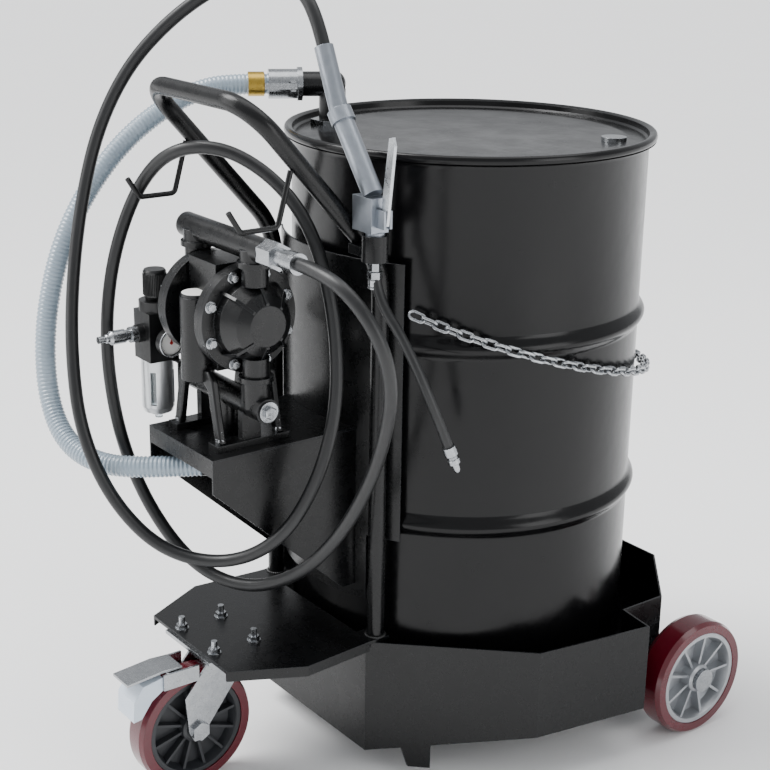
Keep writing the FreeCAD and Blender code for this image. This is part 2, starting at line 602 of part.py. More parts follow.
def build_suction():
    x, y = bung_place(1)
    z = f"{DRUM_TOP} + elbow_rise"
    head = hose_heading()
    way = (head.x, head.y, 0)
    along = lambda s: (f"{x} + ({head.x:.6f}) * ({s})", f"{y} + ({head.y:.6f}) * ({s})", z)
    low = "drum_base_height + head_recess + head_thickness + dip_clearance"
    riser = rod("dip_pipe", "dip_pipe_radius", f"{z} - ({low})", (x, y, low))
    shoulder = rod("dip_shoulder", "elbow_body", "elbow_rise - 4",
                   (x, y, f"{DRUM_TOP} - head_recess + head_thickness + bung_flange_height"))
    knee = ball("elbow_knee", "elbow_body", (x, y, z))
    arm = rod("elbow_arm", "elbow_body - 2", "elbow_reach", along("0"), way)
    bore = rod("dip_bore", "dip_pipe_radius - 3", f"{z} - ({low}) + 1", (x, y, f"{low} - 1"))
    node("suction_tube", cut("suction_tube_cut", fuse("suction_tube_body", riser, shoulder, knee, arm), bore))

    start, end = "elbow_reach", "elbow_reach + coupler_span"
    shell = fuse("coupler_body_sum",
                 rod("coupler_flange", "coupler_body", "8", along(start), way),
                 rod("coupler_barrel", "coupler_body - 3", "coupler_span - 8",
                     along(f"{start} + 8"), way),
                 rod("coupler_collar", "coupler_body - 6", "4", along(f"{end} - 4"), way))
    side = Z_AXIS.cross(head)
    turn = FreeCAD.Rotation(head, side, Z_AXIS, "XYZ")
    slots, ears, pins = [], [], []

    def beside(centre, back, inward, drop):
        """Corner of a level box, measured back and inward from a lever's pin."""
        flat = [f"{text} - ({head_c:.6f}) * ({back}) - ({side_c:.6f}) * ({inward})"
                for text, head_c, side_c in zip(centre[:2], head, side)]
        return (flat[0], flat[1], f"{centre[2]} - ({drop})")

    for tag, sign in (("right", 1), ("left", -1)):
        pivot = along(f"{start} + 16")
        centre = tuple(f"{text} + ({sign * comp:.6f}) * lever_pin_offset"
                       for text, comp in zip(pivot, (side.x, side.y, side.z)))
        bar = aimed_box(f"lever_bar_{tag}", ("lever_length", "lever_thickness", "lever_width"),
                        beside(centre, "6", "lever_thickness / 2", "lever_width / 2"), turn)
        bore = rod(f"lever_bore_{tag}", "lever_pin_radius + axle_fit", "lever_width + 2",
                   (centre[0], centre[1], f"{centre[2]} - lever_width / 2 - 1"))
        node(f"camlock_lever_{tag}", cut(f"lever_{tag}_cut", bar, bore))
        slots.append(aimed_box(f"lever_slot_{tag}", ("2 * lever_swing", "2 * lever_swing",
                                                     "lever_width + 1"),
                               beside(centre, "lever_swing", "lever_swing",
                                      "lever_width / 2 + 0.5"), turn))
        reach = "lever_pin_offset - coupler_body + 9"
        inward = f"{reach}" if sign > 0 else "ear_half"
        for level, drop in (("high", "-lever_width / 2 - 0.5"),
                            ("low", "lever_width / 2 + 0.5 + ear_thickness")):
            ears.append(aimed_box(f"lever_ear_{tag}_{level}",
                                  ("2 * ear_half", f"{reach} + ear_half", "ear_thickness"),
                                  beside(centre, "ear_half", inward, drop), turn))
        pins.append(rod(f"lever_pin_{tag}", "lever_pin_radius",
                        "lever_width + 1 + 2 * ear_thickness",
                        (centre[0], centre[1],
                         f"{centre[2]} - lever_width / 2 - 0.5 - ear_thickness")))
    slotted = cut("coupler_slotted", fuse("coupler_eared", shell, *ears), *slots)
    node("camlock_coupler", fuse("coupler_pinned", slotted, *pins))

    band_start = f"{end} + clamp_start"
    outer = rod("clamp_outer", "suction_hose_radius + clamp_thickness + weld_gap", "clamp_width",
                along(band_start), way)
    inner = rod("clamp_inner", "suction_hose_radius + weld_gap", "clamp_width + 2",
                along(f"{band_start} - 1"), way)
    node("hose_clamp", cut("hose_clamp_cut", outer, inner))
    node("suction_hose", hose("suction_hose_sweep", SUCTION_ROUTE, "suction_hose_radius"))

    drop = rod("shelf_elbow_drop", "shelf_elbow_radius", "shelf_top - shelf_elbow_z + 6",
               ("0", "-pump_y", "shelf_elbow_z"))
    knee = ball("shelf_elbow_knee", "shelf_elbow_radius + 3", ("0", "-pump_y", "shelf_elbow_z"))
    last, before = V(*SUCTION_ROUTE[-1]), V(*SUCTION_ROUTE[-2])
    back = (before - last).normalize()
    arm = rod("shelf_elbow_arm", "shelf_elbow_radius + 1", "shelf_elbow_reach",
              ("0", "-pump_y", "shelf_elbow_z"), (back.x, back.y, 0))
    hose_space = rod("shelf_elbow_face", "suction_hose_radius + 20", "60",
                     tuple(str(c) for c in last), (back.x, back.y, back.z))
    node("suction_elbow", cut("suction_elbow_cut", fuse("suction_elbow_body", drop, knee, arm),
                              hose_space))


# ---------------------------------------------------------------- wheels
def build_wheel(prefix, width, centre, direction):
    """Tread and core of one wheel, turned about its own axis."""
    half = f"({width}) / 2"
    rim = "wheel_radius - tread_depth"
    tread = [
        (rim, f"-({half})"), ("wheel_radius - 4", f"-({half})"), ("wheel_radius", f"-({half}) + 8"),
        ("wheel_radius", f"{half} - 8"), ("wheel_radius - 4", half), (rim, half),
    ]
    node(f"{prefix}_tread", turned(f"{prefix}_tread_body", tread, centre, direction))
    hub_half = "hub_width / 2" if width == "wheel_width" else f"{half} + 1"
    bore = "axle_radius + axle_fit"
    core = [
        (bore, f"-({hub_half})"), ("hub_radius", f"-({hub_half})"), ("hub_radius", "-web_half"),
        (f"{rim} - 8", "-web_half"), (f"{rim} - 6", f"-({half}) + 1"), (rim, f"-({half}) + 1"),
        (rim, f"{half} - 1"), (f"{rim} - 6", f"{half} - 1"), (f"{rim} - 8", "web_half"),
        ("hub_radius", "web_half"), ("hub_radius", hub_half), (bore, hub_half),
    ]
    blank = turned(f"{prefix}_core_body", core, centre, direction)
    windows = []
    for step in range(5):
        angle = 2 * math.pi * step / 5 + math.pi / 2
        place = (centre[0], f"{centre[1]} + window_circle * {math.cos(angle):.6f}",
                 f"{centre[2]} + window_circle * {math.sin(angle):.6f}")
        window = rod(f"{prefix}_window{step}", "window_radius", "4 * web_half", place, direction)
        bind(window, "Placement.Base.x", f"{centre[0]} - {direction[0]} * 2 * web_half")
        windows.append(window)
    node(f"{prefix}_core", cut(f"{prefix}_core_cut", blank, *windows))


def build_wheels():
    build_wheel("wheel_right", "wheel_width", ("wheel_track_half", "axle_y", "wheel_radius"),
                (1, 0, 0))
    build_wheel("wheel_left", "wheel_width", ("-wheel_track_half", "axle_y", "wheel_radius"),
                (-1, 0, 0))
    build_wheel("caster_wheel", "caster_wheel_width",
                ("0", "-(caster_y + caster_trail)", "wheel_radius"), (1, 0, 0))


def build_caster():
    mount_low = "wall_top - mount_thickness"
    race_low = f"{mount_low} - race_height"
    slab = box("caster_mount_slab", ("2 * mount_half_x", "2 * mount_half_y", "mount_thickness"),
               ("-mount_half_x", "-caster_y - mount_half_y", mount_low))
    race = rod("caster_race", "race_radius", "race_height", ("0", "-caster_y", race_low))
    holes = [rod(f"caster_mount_hole{i}", "bolt_radius + 0.1", "3 * mount_thickness",
                 (x, y, f"{mount_low} - mount_thickness")) for i, (x, y) in enumerate(bolt_places())]
    node("caster_mount", cut("caster_mount_cut", fuse("caster_mount_body", slab, race), *holes))

    bolts = []
    for i, (x, y) in enumerate(bolt_places()):
        shank = rod(f"caster_bolt_shank{i}", "bolt_radius",
                    "mount_thickness + plate_thickness + bolt_head_height + bolt_stud",
                    (x, y, mount_low))
        nut = hexagon(f"caster_bolt_nut{i}", "bolt_head_radius", "bolt_head_height",
                      (x, y, "wall_top + plate_thickness"))
        washer = rod(f"caster_bolt_washer{i}", "bolt_head_radius + 2", "1.5",
                     (x, y, "wall_top + plate_thickness"))
        head = hexagon(f"caster_bolt_head{i}", "bolt_head_radius", "5", (x, y, f"{mount_low} - 5"))
        bolts.append(fuse(f"caster_bolt{i}", shank, nut, washer, head))
    node("caster_bolts", group_of("caster_bolt_set", bolts))

    crown_top = f"{race_low} - race_gap"
    crown_low = f"{crown_top} - crown_thickness"
    inner = "caster_wheel_width / 2 + 1 + fork_gap"
    wheel_y = "caster_y + caster_trail"
    crown = box("fork_crown", (f"2 * ({inner} + fork_thickness)", "2 * crown_half_y",
                               "crown_thickness"),
                (f"-({inner} + fork_thickness)", "-caster_y - crown_half_y", crown_low))
    leg_outline = [
        ("-caster_y - crown_half_y", crown_top), (f"-({wheel_y}) - 24", "wheel_radius + 62"),
        (f"-({wheel_y}) - fork_foot_radius", "wheel_radius"),
        (f"-({wheel_y}) - fork_foot_radius * 0.5", "wheel_radius - fork_foot_radius"),
        (f"-({wheel_y}) + fork_foot_radius * 0.6", "wheel_radius - fork_foot_radius"),
        (f"-({wheel_y}) + fork_foot_radius", "wheel_radius + 4"),
        ("-caster_y + crown_half_y", f"{crown_low} - 12"), ("-caster_y + crown_half_y", crown_top),
    ]
    legs = [plate(f"fork_leg{sign % 3}", "YZ_Plane", leg_outline, "fork_thickness",
                  (f"{sign} * ({inner} + fork_thickness / 2)", "0", "0"), middle=True)
            for sign in (1, -1)]
    cheeks = [box(f"fork_cheek{sign % 3}", ("fork_thickness", "62", "26"),
                  (f"{sign} * ({inner} + fork_thickness / 2) - fork_thickness / 2",
                   "-pedal_pivot_y - 26", "pedal_pivot_z - 14")) for sign in (1, -1)]
    pin_hole = rod("fork_axle_hole", "axle_radius + axle_fit", "200",
                   ("-100", f"-({wheel_y})", "wheel_radius"), (1, 0, 0))
    pedal_hole = rod("fork_pedal_hole", "pedal_pin_radius + axle_fit", "200",
                     ("-100", "-pedal_pivot_y", "pedal_pivot_z"), (1, 0, 0))
    node("caster_fork", cut("caster_fork_cut", fuse("caster_fork_body", crown, *legs, *cheeks),
                            pin_hole, pedal_hole))

    outer = f"{inner} + fork_thickness"
    axle = fuse("caster_axle_body",
                rod("caster_axle_shaft", "axle_radius", f"2 * ({outer} + 6)",
                    (f"-({outer} + 6)", f"-({wheel_y})", "wheel_radius"), (1, 0, 0)),
                hexagon("caster_axle_nut", "axle_radius + 6", "7",
                        (f"{outer} + 0.1", f"-({wheel_y})", "wheel_radius"), (1, 0, 0)),
                hexagon("caster_axle_head", "axle_radius + 6", "7",
                        (f"-({outer}) - 0.1", f"-({wheel_y})", "wheel_radius"), (-1, 0, 0)))
    node("caster_axle", axle)

    pin = rod("pedal_pin", "pedal_pin_radius", f"2 * ({outer})",
              (f"-({outer})", "-pedal_pivot_y", "pedal_pivot_z"), (1, 0, 0))
    tread_outline = [
        ("-pedal_pivot_y + 6", "pedal_pivot_z + 4"), ("-pedal_pivot_y + 10", "pedal_pivot_z + 16"),
        ("-pedal_pivot_y - 22", "pedal_pivot_z + 18"), ("-pedal_tip_y", "pedal_tip_z - 8"),
        ("-pedal_tip_y", "pedal_tip_z - 8 - pedal_thickness"),
        ("-pedal_pivot_y - 22", "pedal_pivot_z + 18 - pedal_thickness"),
        ("-pedal_pivot_y - 6", "pedal_pivot_z + 9"), ("-pedal_pivot_y - 6", "pedal_pivot_z - 2"),
    ]
    blade = plate("pedal_blade", "YZ_Plane", tread_outline, "2 * (caster_wheel_width / 2 + 0.5)",
                  middle=True)
    node("caster_pedal", fuse("caster_pedal_body", pin, blade))

    shoe_outline = [
        ("-pedal_pivot_y - 14", "pedal_pivot_z - 6"), ("-pedal_pivot_y - 26", "pedal_pivot_z + 8"),
        ("-pedal_pivot_y - 60", "pedal_pivot_z + 2"), ("-pedal_pivot_y - 76", "pedal_pivot_z - 20"),
        ("-pedal_pivot_y - 78", "pedal_pivot_z - 54"), ("-pedal_pivot_y - 64", "pedal_pivot_z - 52"),
        ("-pedal_pivot_y - 46", "pedal_pivot_z - 27"),
    ]
    node("caster_brake_cover", plate("brake_cover", "YZ_Plane", shoe_outline,
                                     "caster_wheel_width + 2 + 2 * fork_gap", middle=True))


# ---------------------------------------------------------------- pump
def build_air_section():
    y, z = "-pump_y", "pump_z"
    flange_end = "air_half + flange_width"
    hub = rod("air_hub", "hub_outer", "2 * air_half", ("-air_half", y, z), (1, 0, 0))
    block = box("air_block", ("2 * block_half", "block_front + 52", "160"),
                ("-block_half", f"{y} - block_front", "pump_z - 80"))
    flanges = [rod(f"air_flange{s % 3}", "cap_radius", "flange_width",
                   (f"{s} * air_half", y, z), (s, 0, 0)) for s in (1, -1)]
    bore = rod("air_bore", "shaft_radius + shaft_fit", f"2 * ({flange_end}) + 2",
               (f"-({flange_end}) - 1", y, z), (1, 0, 0))
    node("pump_air_section", cut("pump_air_cut", fuse("pump_air_body", hub, block, *flanges), bore))


def build_cap(name, sign):
    base, way = "air_half + flange_width", (sign, 0, 0)
    profile = [
        ("diaphragm_radius - 6", "0"), ("cap_radius", "0"), ("cap_radius", "flange_width"),
        ("dome_radius", "flange_width"), ("dome_radius - 1", "26"),
        ("cap_nose_radius + 16", f"cap_reach - ({base}) - 12"),
        ("cap_nose_radius", f"cap_reach - ({base})"), ("0", f"cap_reach - ({base})"),
        ("0", f"cap_reach - ({base}) - cap_wall"),
        ("cap_nose_radius - 6", f"cap_reach - ({base}) - cap_wall"),
        ("cap_nose_radius + 8", f"cap_reach - ({base}) - cap_wall - 12"),
        ("diaphragm_radius - 12", "25"), ("diaphragm_radius - 6", "20"),
    ]
    dome = turned(f"{name}_dome", profile, (f"{sign} * ({base})", "-pump_y", "pump_z"), way)
    x = f"{sign} * boss_x"
    bosses, bores = [], []
    for tag, up in (("up", 1), ("down", -1)):
        bosses.append(rod(f"{name}_boss_{tag}", "boss_radius", "boss_reach - boss_start",
                          (x, "-pump_y", f"pump_z + {up} * boss_start"), (0, 0, up)))
        bores.append(rod(f"{name}_bore_{tag}", "boss_radius - 10", "boss_reach",
                         (x, "-pump_y", f"pump_z + {up} * 10"), (0, 0, up)))
    node(name, cut(f"{name}_cut", fuse(f"{name}_body", dome, *bosses), *bores))


def cap_bolt_angles():
    count = int(num("cap_bolt_count"))
    return [math.pi * (2 * i + 1) / count for i in range(count)]


def build_cap_bolts():
    bolts = []
    for sign in (1, -1):
        for i, angle in enumerate(cap_bolt_angles()):
            place = (f"{sign} * (air_half + 2 * flange_width)",
                     f"-pump_y + cap_bolt_circle * {math.cos(angle):.6f}",
                     f"pump_z + cap_bolt_circle * {math.sin(angle):.6f}")
            bolts.append(rod(f"cap_bolt{sign % 3}_{i}", "cap_bolt_radius", "cap_bolt_height",
                             place, (sign, 0, 0)))
    return bolts


def build_diaphragms():
    reach = "air_half + flange_width + 9"
    parts = [rod("pump_shaft", "shaft_radius", f"2 * ({reach})", (f"-({reach})", "-pump_y", "pump_z"),
                 (1, 0, 0))]
    for sign in (1, -1):
        place = (f"{sign} * ({reach})", "-pump_y", "pump_z")
        parts.append(rod(f"diaphragm_disc{sign % 3}", "diaphragm_radius - 6 - diaphragm_gap",
                         "diaphragm_thickness", place, (sign, 0, 0)))
        parts.append(rod(f"diaphragm_plate{sign % 3}", "diaphragm_radius / 2",
                         "diaphragm_thickness + 3", place, (sign, 0, 0)))
    node("pump_diaphragms", fuse("pump_diaphragm_set", *parts))


def build_manifold(name, up):
    """Upper (up = 1) or lower (up = -1) manifold with its two ball chambers."""
    rise = "manifold_rise" if up > 0 else "lower_drop"
    level = f"pump_z + {up} * {rise}"
    seat = f"pump_z + {up} * boss_reach"
    parts = [rod(f"{name}_pipe", "manifold_radius", "2 * manifold_end",
                 ("-manifold_end", "-pump_y", level), (1, 0, 0))]
    cuts = [rod(f"{name}_bore", "manifold_radius - 6", "2 * manifold_end - 8",
                ("-manifold_end + 8", "-pump_y", level), (1, 0, 0))]
    for side in (1, -1):
        x = f"{side} * boss_x"
        parts.append(rod(f"{name}_neck{side % 3}", "neck_radius", f"{rise} - boss_reach",
                         (x, "-pump_y", seat), (0, 0, up)))
        parts.append(rod(f"{name}_flange{side % 3}", "neck_radius + 4", "manifold_flange",
                         (x, "-pump_y", seat), (0, 0, up)))
        if up > 0:
            cuts.append(rod(f"{name}_chamber{side % 3}", "ball_chamber", "ball_radius * 2 + 3",
                            (x, "-pump_y", f"{seat} - 0.01"), (0, 0, up)))
        else:
            cuts.append(rod(f"{name}_chamber{side % 3}", "ball_chamber", "ball_radius * 2 + 3",
                            (x, "-pump_y", f"{seat} - ball_radius * 2 - 3"), (0, 0, 1)))
            cuts.append(rod(f"{name}_seat{side % 3}", "boss_radius - 10", "lower_drop - boss_reach",
                            (x, "-pump_y", level), (0, 0, 1)))
    if up < 0:
        parts.append(rod("pump_inlet", "shelf_elbow_radius + 4", f"{level} - shelf_top - 6",
                         ("0", "-pump_y", "shelf_top + 6")))
        for i, (x, y) in enumerate(foot_places()):
            parts.append(box(f"pump_foot{i}", ("2 * foot_pad", "2 * foot_pad", "10"),
                             (f"{x} - foot_pad", f"{y} - foot_pad", "shelf_top")))
        for side in (1, -1):
            x = f"{side} * foot_half_x"
            parts.append(box(f"pump_foot_bar{side % 3}", ("2 * foot_pad", "2 * foot_half_y", "10"),
                             (f"{x} - foot_pad", "-pump_y - foot_half_y", "shelf_top")))
            parts.append(box(f"pump_leg{side % 3}", ("foot_pad", "2 * manifold_radius - 6",
                                                    f"{level} - shelf_top"),
                             (f"{x} - foot_pad / 2", "-pump_y - manifold_radius + 3", "shelf_top")))
        holes = [rod(f"pump_foot_hole{i}", "foot_bolt_radius + 0.1", "20",
                     (x, y, "shelf_top - 2")) for i, (x, y) in enumerate(foot_places())]
        cuts += holes
        cuts.append(rod("pump_inlet_bore", "shelf_elbow_radius - 4", "80",
                        ("0", "-pump_y", "shelf_top")))
    node(name, cut(f"{name}_cut", fuse(f"{name}_body", *parts), *cuts))


def build_balls():
    lift = "sqrt(ball_radius ^ 2 - (boss_radius - 10) ^ 2)"
    balls = []
    for side in (1, -1):
        balls.append(ball(f"ball_up{side % 3}", "ball_radius - seat_gap",
                          (f"{side} * boss_x", "-pump_y", f"pump_z + boss_reach + {lift}")))
        balls.append(ball(f"ball_down{side % 3}", "ball_radius - seat_gap",
                          (f"{side} * boss_x", "-pump_y",
                           f"pump_z - boss_reach - ball_radius * 2 - 3 + {lift}")))
    node("pump_valve_balls", group_of("pump_ball_set", balls))


def build_pump_fittings():
    y = "-pump_y - valve_front"
    body = fuse("air_valve_sum",
                rod("air_valve_barrel", "valve_radius", "valve_low + valve_high - valve_label",
                    ("0", y, "pump_z - valve_low")),
                rod("air_valve_lid", "valve_radius - 2", "valve_label",
                    ("0", y, "pump_z + valve_high - valve_label")))
    back = box("air_valve_back", ("200", "100", "400"),
               ("-100", "-pump_y - block_front", "pump_z - 200"))
    node("pump_air_valve", cut("air_valve_cut", body, back))

    rear = "-pump_y + 52"
    node("pump_muffler", fuse("muffler_sum",
         rod("muffler_can", "muffler_radius", "muffler_length - 8", ("12", f"{rear} + 8",
             "pump_z + muffler_rise"), (0, 1, 0)),
         rod("muffler_neck", "muffler_radius - 5", "8", ("12", rear, "pump_z + muffler_rise"),
             (0, 1, 0))))

    studs = []
    for i, (x, y) in enumerate(foot_places()):
        shank = rod(f"foot_stud{i}", "foot_bolt_radius", "sheet + 8 + 28",
                    (x, y, "shelf_top - sheet - 8"))
        nut = hexagon(f"foot_nut{i}", "foot_bolt_radius + 4", "7", (x, y, "shelf_top + 10"))
        under = hexagon(f"foot_under{i}", "foot_bolt_radius + 4", "6",
                        (x, y, "shelf_top - sheet - 6"))
        studs.append(fuse(f"foot_bolt{i}", shank, nut, under))
    node("pump_foot_bolts", group_of("foot_bolt_set", studs))
    node("pump_cap_bolts", group_of("cap_bolt_set", build_cap_bolts()))

    z = "pump_z + manifold_rise"
    hexed = hexagon("outlet_hex_part", "outlet_hex", "outlet_hex_length",
                    ("manifold_end", "-pump_y", z), (1, 0, 0))
    nipple = rod("outlet_nipple_part", "outlet_nipple", "outlet_nipple_length",
                 ("manifold_end + outlet_hex_length", "-pump_y", z), (1, 0, 0))
    ferrule = rod("outlet_ferrule", "ferrule_radius + 1.5", "ferrule_length",
                  ("manifold_end + outlet_hex_length + outlet_nipple_length - ferrule_length",
                   "-pump_y", z), (1, 0, 0))
    node("pump_outlet_fitting", fuse("outlet_sum", hexed, nipple, ferrule))


def build_pump():
    build_air_section()
    build_cap("pump_cap_right", 1)
    build_cap("pump_cap_left", -1)
    build_diaphragms()
    build_manifold("pump_manifold_top", 1)
    build_manifold("pump_manifold_bottom", -1)
    build_balls()
    build_pump_fittings()


# ---------------------------------------------------------------- filter regulator
def build_regulator():
    x, y, low = "-unit_x", "-unit_y", "unit_body_z"
    top = "unit_body_z + unit_body_height"
    core = box("unit_core", ("2 * unit_half", "2 * unit_half", "unit_body_height"),
               (f"{x} - unit_half", f"{y} - unit_half", low))
    ports = rod("unit_ports", "port_radius", "2 * port_reach", (x, f"{y} - port_reach", "port_z"),
                (0, 1, 0))
    bonnet = rod("unit_bonnet", "bonnet_radius", "bonnet_height", (x, y, top))
    node("regulator_body", fuse("regulator_sum", core, ports, bonnet))

    knob_z = f"{top} + bonnet_height + knob_gap"
    node("regulator_knob", turned("knob_body", [
        ("0", "0"), ("knob_radius - 3", "0"), ("knob_radius - 1", "6"),
        ("knob_radius", "knob_height - 3"), ("knob_radius - 2", "knob_height"),
        ("0", "knob_height"),
    ], (x, y, knob_z)))

    node("filter_bowl", turned("bowl_body", [
        ("0", "-bowl_height"), ("6", "-bowl_height"), ("6", "-bowl_height + 6"),
        ("bowl_radius - 6", "-bowl_height + 8"), ("bowl_radius", "-bowl_height + 16"),
        ("bowl_radius", "0"), ("bowl_radius - bowl_wall", "0"),
        ("bowl_radius - bowl_wall", "-bowl_height + 17"), ("0", "-bowl_height + 11"),
    ], (x, y, low)))

    inner = "bowl_radius + guard_gap"
    shell = turned("guard_shell", [
        (inner, "-bowl_height + 14"), ("guard_radius - 3", "-bowl_height + 12"),
        ("guard_radius", "-bowl_height + 20"), ("guard_radius", "0"), (inner, "0"),
    ], (x, y, low))
    slots = []
    for step in range(4):
        slot = box(f"guard_slot{step}", ("60", "9", "54"), (x, y, f"{low} - 72"))
        angle = 45 + 90 * step
        slot.Placement.Rotation = FreeCAD.Rotation(Z_AXIS, angle)
        bind(slot, "Placement.Base.x", f"{x} + 4.5 * {math.sin(math.radians(angle)):.6f}")
        bind(slot, "Placement.Base.y", f"{y} - 4.5 * {math.cos(math.radians(angle)):.6f}")
        slots.append(slot)
    node("filter_bowl_guard", cut("guard_cut", shell, *slots))

    gauge_x = f"{x} + unit_half"
    gauge_y = y
    face = "gauge_stem + gauge_depth - gauge_recess"
    node("gauge_case", turned("gauge_body", [
        ("0", "0"), ("6", "0"), ("6", "gauge_stem"), ("gauge_radius", "gauge_stem"),
        ("gauge_radius", "gauge_stem + gauge_depth"),
        ("gauge_radius - 2.5", "gauge_stem + gauge_depth"), ("gauge_radius - 2.5", face),
        ("0", face),
    ], (gauge_x, gauge_y, "gauge_z"), (1, 0, 0)))
    hub = rod("needle_hub", "2.5", "2", (f"{gauge_x} + {face} + 0.1", gauge_y, "gauge_z"), (1, 0, 0))
    hand = box("needle_hand", ("0.8", "1.6", "needle_length"),
               (f"{gauge_x} + {face} + 0.8", f"{gauge_y} - 0.8", "gauge_z"))
    node("gauge_needle", fuse("needle_sum", hub, hand))

    node("air_coupler", turned("coupler_turn", [
        ("0", "0"), ("coupler_radius + 1.5", "0"), ("coupler_radius + 1.5", "10"),
        ("coupler_radius - 2", "10"), ("coupler_radius - 2", "18"), ("coupler_radius", "20"),
        ("coupler_radius", "42"), ("coupler_radius - 4", "46"), ("coupler_radius - 4", "50"),
        ("coupler_radius - 5.5", "52"), ("coupler_radius - 5.5", "coupler_length"),
        ("0", "coupler_length"),
    ], (x, f"{y} - port_reach", "port_z"), (0, -1, 0)))

    end_y = "-pump_y + 52"
    points = [vec(x, f"{y} + port_reach", "port_z"), vec(x, "-air_run_y", "port_z"),
              vec("-20", "-air_run_y", "port_z"), vec("-20", end_y, "port_z")]
    node("air_line", pipe("air_line_sweep", points, [num("air_pipe_bend")] * 2, "air_pipe_radius"))

    inner_x = f"{x} + unit_half"
    outer_x = "-shelf_half - bracket_sheet"
    width = "bracket_width"
    near = f"{y} + unit_half - bracket_width - 4"
    upright = box("bracket_upright", ("bracket_sheet", width, "60"), (inner_x, near, low))
    arm = box("bracket_arm", (f"{outer_x} + bracket_sheet - ({inner_x})", width, "bracket_sheet"),
              (inner_x, near, low))
    drop = box("bracket_drop", ("bracket_sheet", width, f"{low} + bracket_sheet - shelf_top + 24"),
               (outer_x, near, "shelf_top - 24"))
    node("regulator_bracket", fuse("bracket_sum", upright, arm, drop))


# ---------------------------------------------------------------- delivery side
def gun_point(x, z):
    return vec(x, "-gun_y", z)


def bar_between(name, radius, start, stop):
    way = stop - start
    obj = rod(name, radius, f"{way.Length:.4f}", ("0", "0", "0"), (way.x, way.y, way.z))
    return put(obj, tuple(f"{c:.4f}" for c in start))


def build_gun():
    collar, end = gun_point("collar_x", "collar_z"), gun_point("barrel_x", "barrel_z")
    top = gun_point("swivel_x", "swivel_z")
    way = (end - collar).normalize()
    barrel = bar_between("gun_barrel", "barrel_radius", collar, end)
    band = bar_between("gun_collar", "barrel_radius + 3", collar, collar + way * 20)
    head = box("gun_head", ("2 * head_half", "2 * head_depth", "head_high_z - head_low_z"),
               ("head_x - head_half", "-gun_y - head_depth", "head_low_z"))
    neck = rod("gun_neck", "outlet_radius", "head_low_z - holder_low_z",
               ("outlet_x", "-gun_y", "holder_low_z"))
    lug_x = "head_x + head_half"
    lugs = [box(f"gun_lug{s % 3}", ("19", "4", "26"),
                (lug_x, f"-gun_y + {s} * 5.2 - 2", "trigger_pivot_z - 13")) for s in (1, -1)]
    pin = rod("gun_pin", "3", "14.4", (f"{lug_x} + 12", "-gun_y - 7.2", "trigger_pivot_z"), (0, 1, 0))
    node("gun_body", fuse("gun_sum", barrel, band, head, neck, *lugs, pin))

    swivel = bar_between("swivel_bar", "swivel_radius", top, collar)
    space = bar_between("swivel_space", "barrel_radius + 3.3", collar - way * 0.3,
                        collar + way * 40)
    node("gun_swivel", cut("swivel_cut", swivel, space))

    pivot_x = f"{lug_x} + 12"
    lever = plate("trigger_blank", "XZ_Plane", [
        (f"{pivot_x} - 5", "trigger_pivot_z - 9"), (f"{pivot_x} + 6", "trigger_pivot_z - 9"),
        (f"{pivot_x} + 8", "trigger_pivot_z + 4"), ("trigger_tip_x + 12", "trigger_tip_z - 12"),
        ("trigger_tip_x + 8", "trigger_tip_z"), ("trigger_tip_x", "trigger_tip_z - 2"),
        (f"{pivot_x} - 4", "trigger_pivot_z + 30"),
    ], "trigger_plate", ("0", "-gun_y", "0"), middle=True)
    hole = rod("trigger_hole", "3.05", "30", (pivot_x, "-gun_y - 15", "trigger_pivot_z"), (0, 1, 0))
    node("gun_trigger", cut("trigger_cut", lever, hole))

    nut = hexagon("spout_nut", "spout_nut_radius", "spout_nut_height",
                  ("outlet_x", "-gun_y", "holder_low_z - spout_nut_height"))
    start = vec("outlet_x", "-gun_y", "holder_low_z - spout_nut_height")
    points = [start] + [V(*p) for p in SPOUT_ROUTE]
    radii = []
    for before, corner, after in zip(points, points[1:], points[2:]):
        turn_angle = (corner - before).getAngle(after - corner)
        shorter = min(corner.distanceToPoint(before), corner.distanceToPoint(after))
        radii.append(0.45 * shorter / math.tan(turn_angle / 2))
    tube = pipe("spout_tube", points, radii, "spout_radius")
    last = points[-1]
    way = (last - points[-2]).normalize()
    tip = bar_between("spout_tip", "tip_radius", last - way * 12, last + way * (num("tip_length") - 12))
    node("gun_spout", fuse("spout_sum", nut, tube, tip))

    cup = cut("holder_cup", rod("holder_outer", "holder_radius", "holder_high_z - holder_low_z",
                                ("outlet_x", "-gun_y", "holder_low_z")),
              rod("holder_inner", "holder_radius - holder_wall", "80",
                  ("outlet_x", "-gun_y", "holder_low_z - 10")))
    arm = box("holder_arm", ("46", "34", "14"), ("outlet_x - 52", "-gun_y - 9", "holder_low_z + 3"))
    leg = pipe("holder_leg_space", leg_points(1), [num("leg_bend_radius")], "tube_radius + weld_gap")
    cup_space = rod("holder_arm_space", "holder_radius - 1", "80",
                    ("outlet_x", "-gun_y", "holder_low_z - 10"))
    arm_cut = cut("holder_arm_cut", arm, leg, cup_space)
    node("gun_holder", fuse("holder_sum", cup, arm_cut))


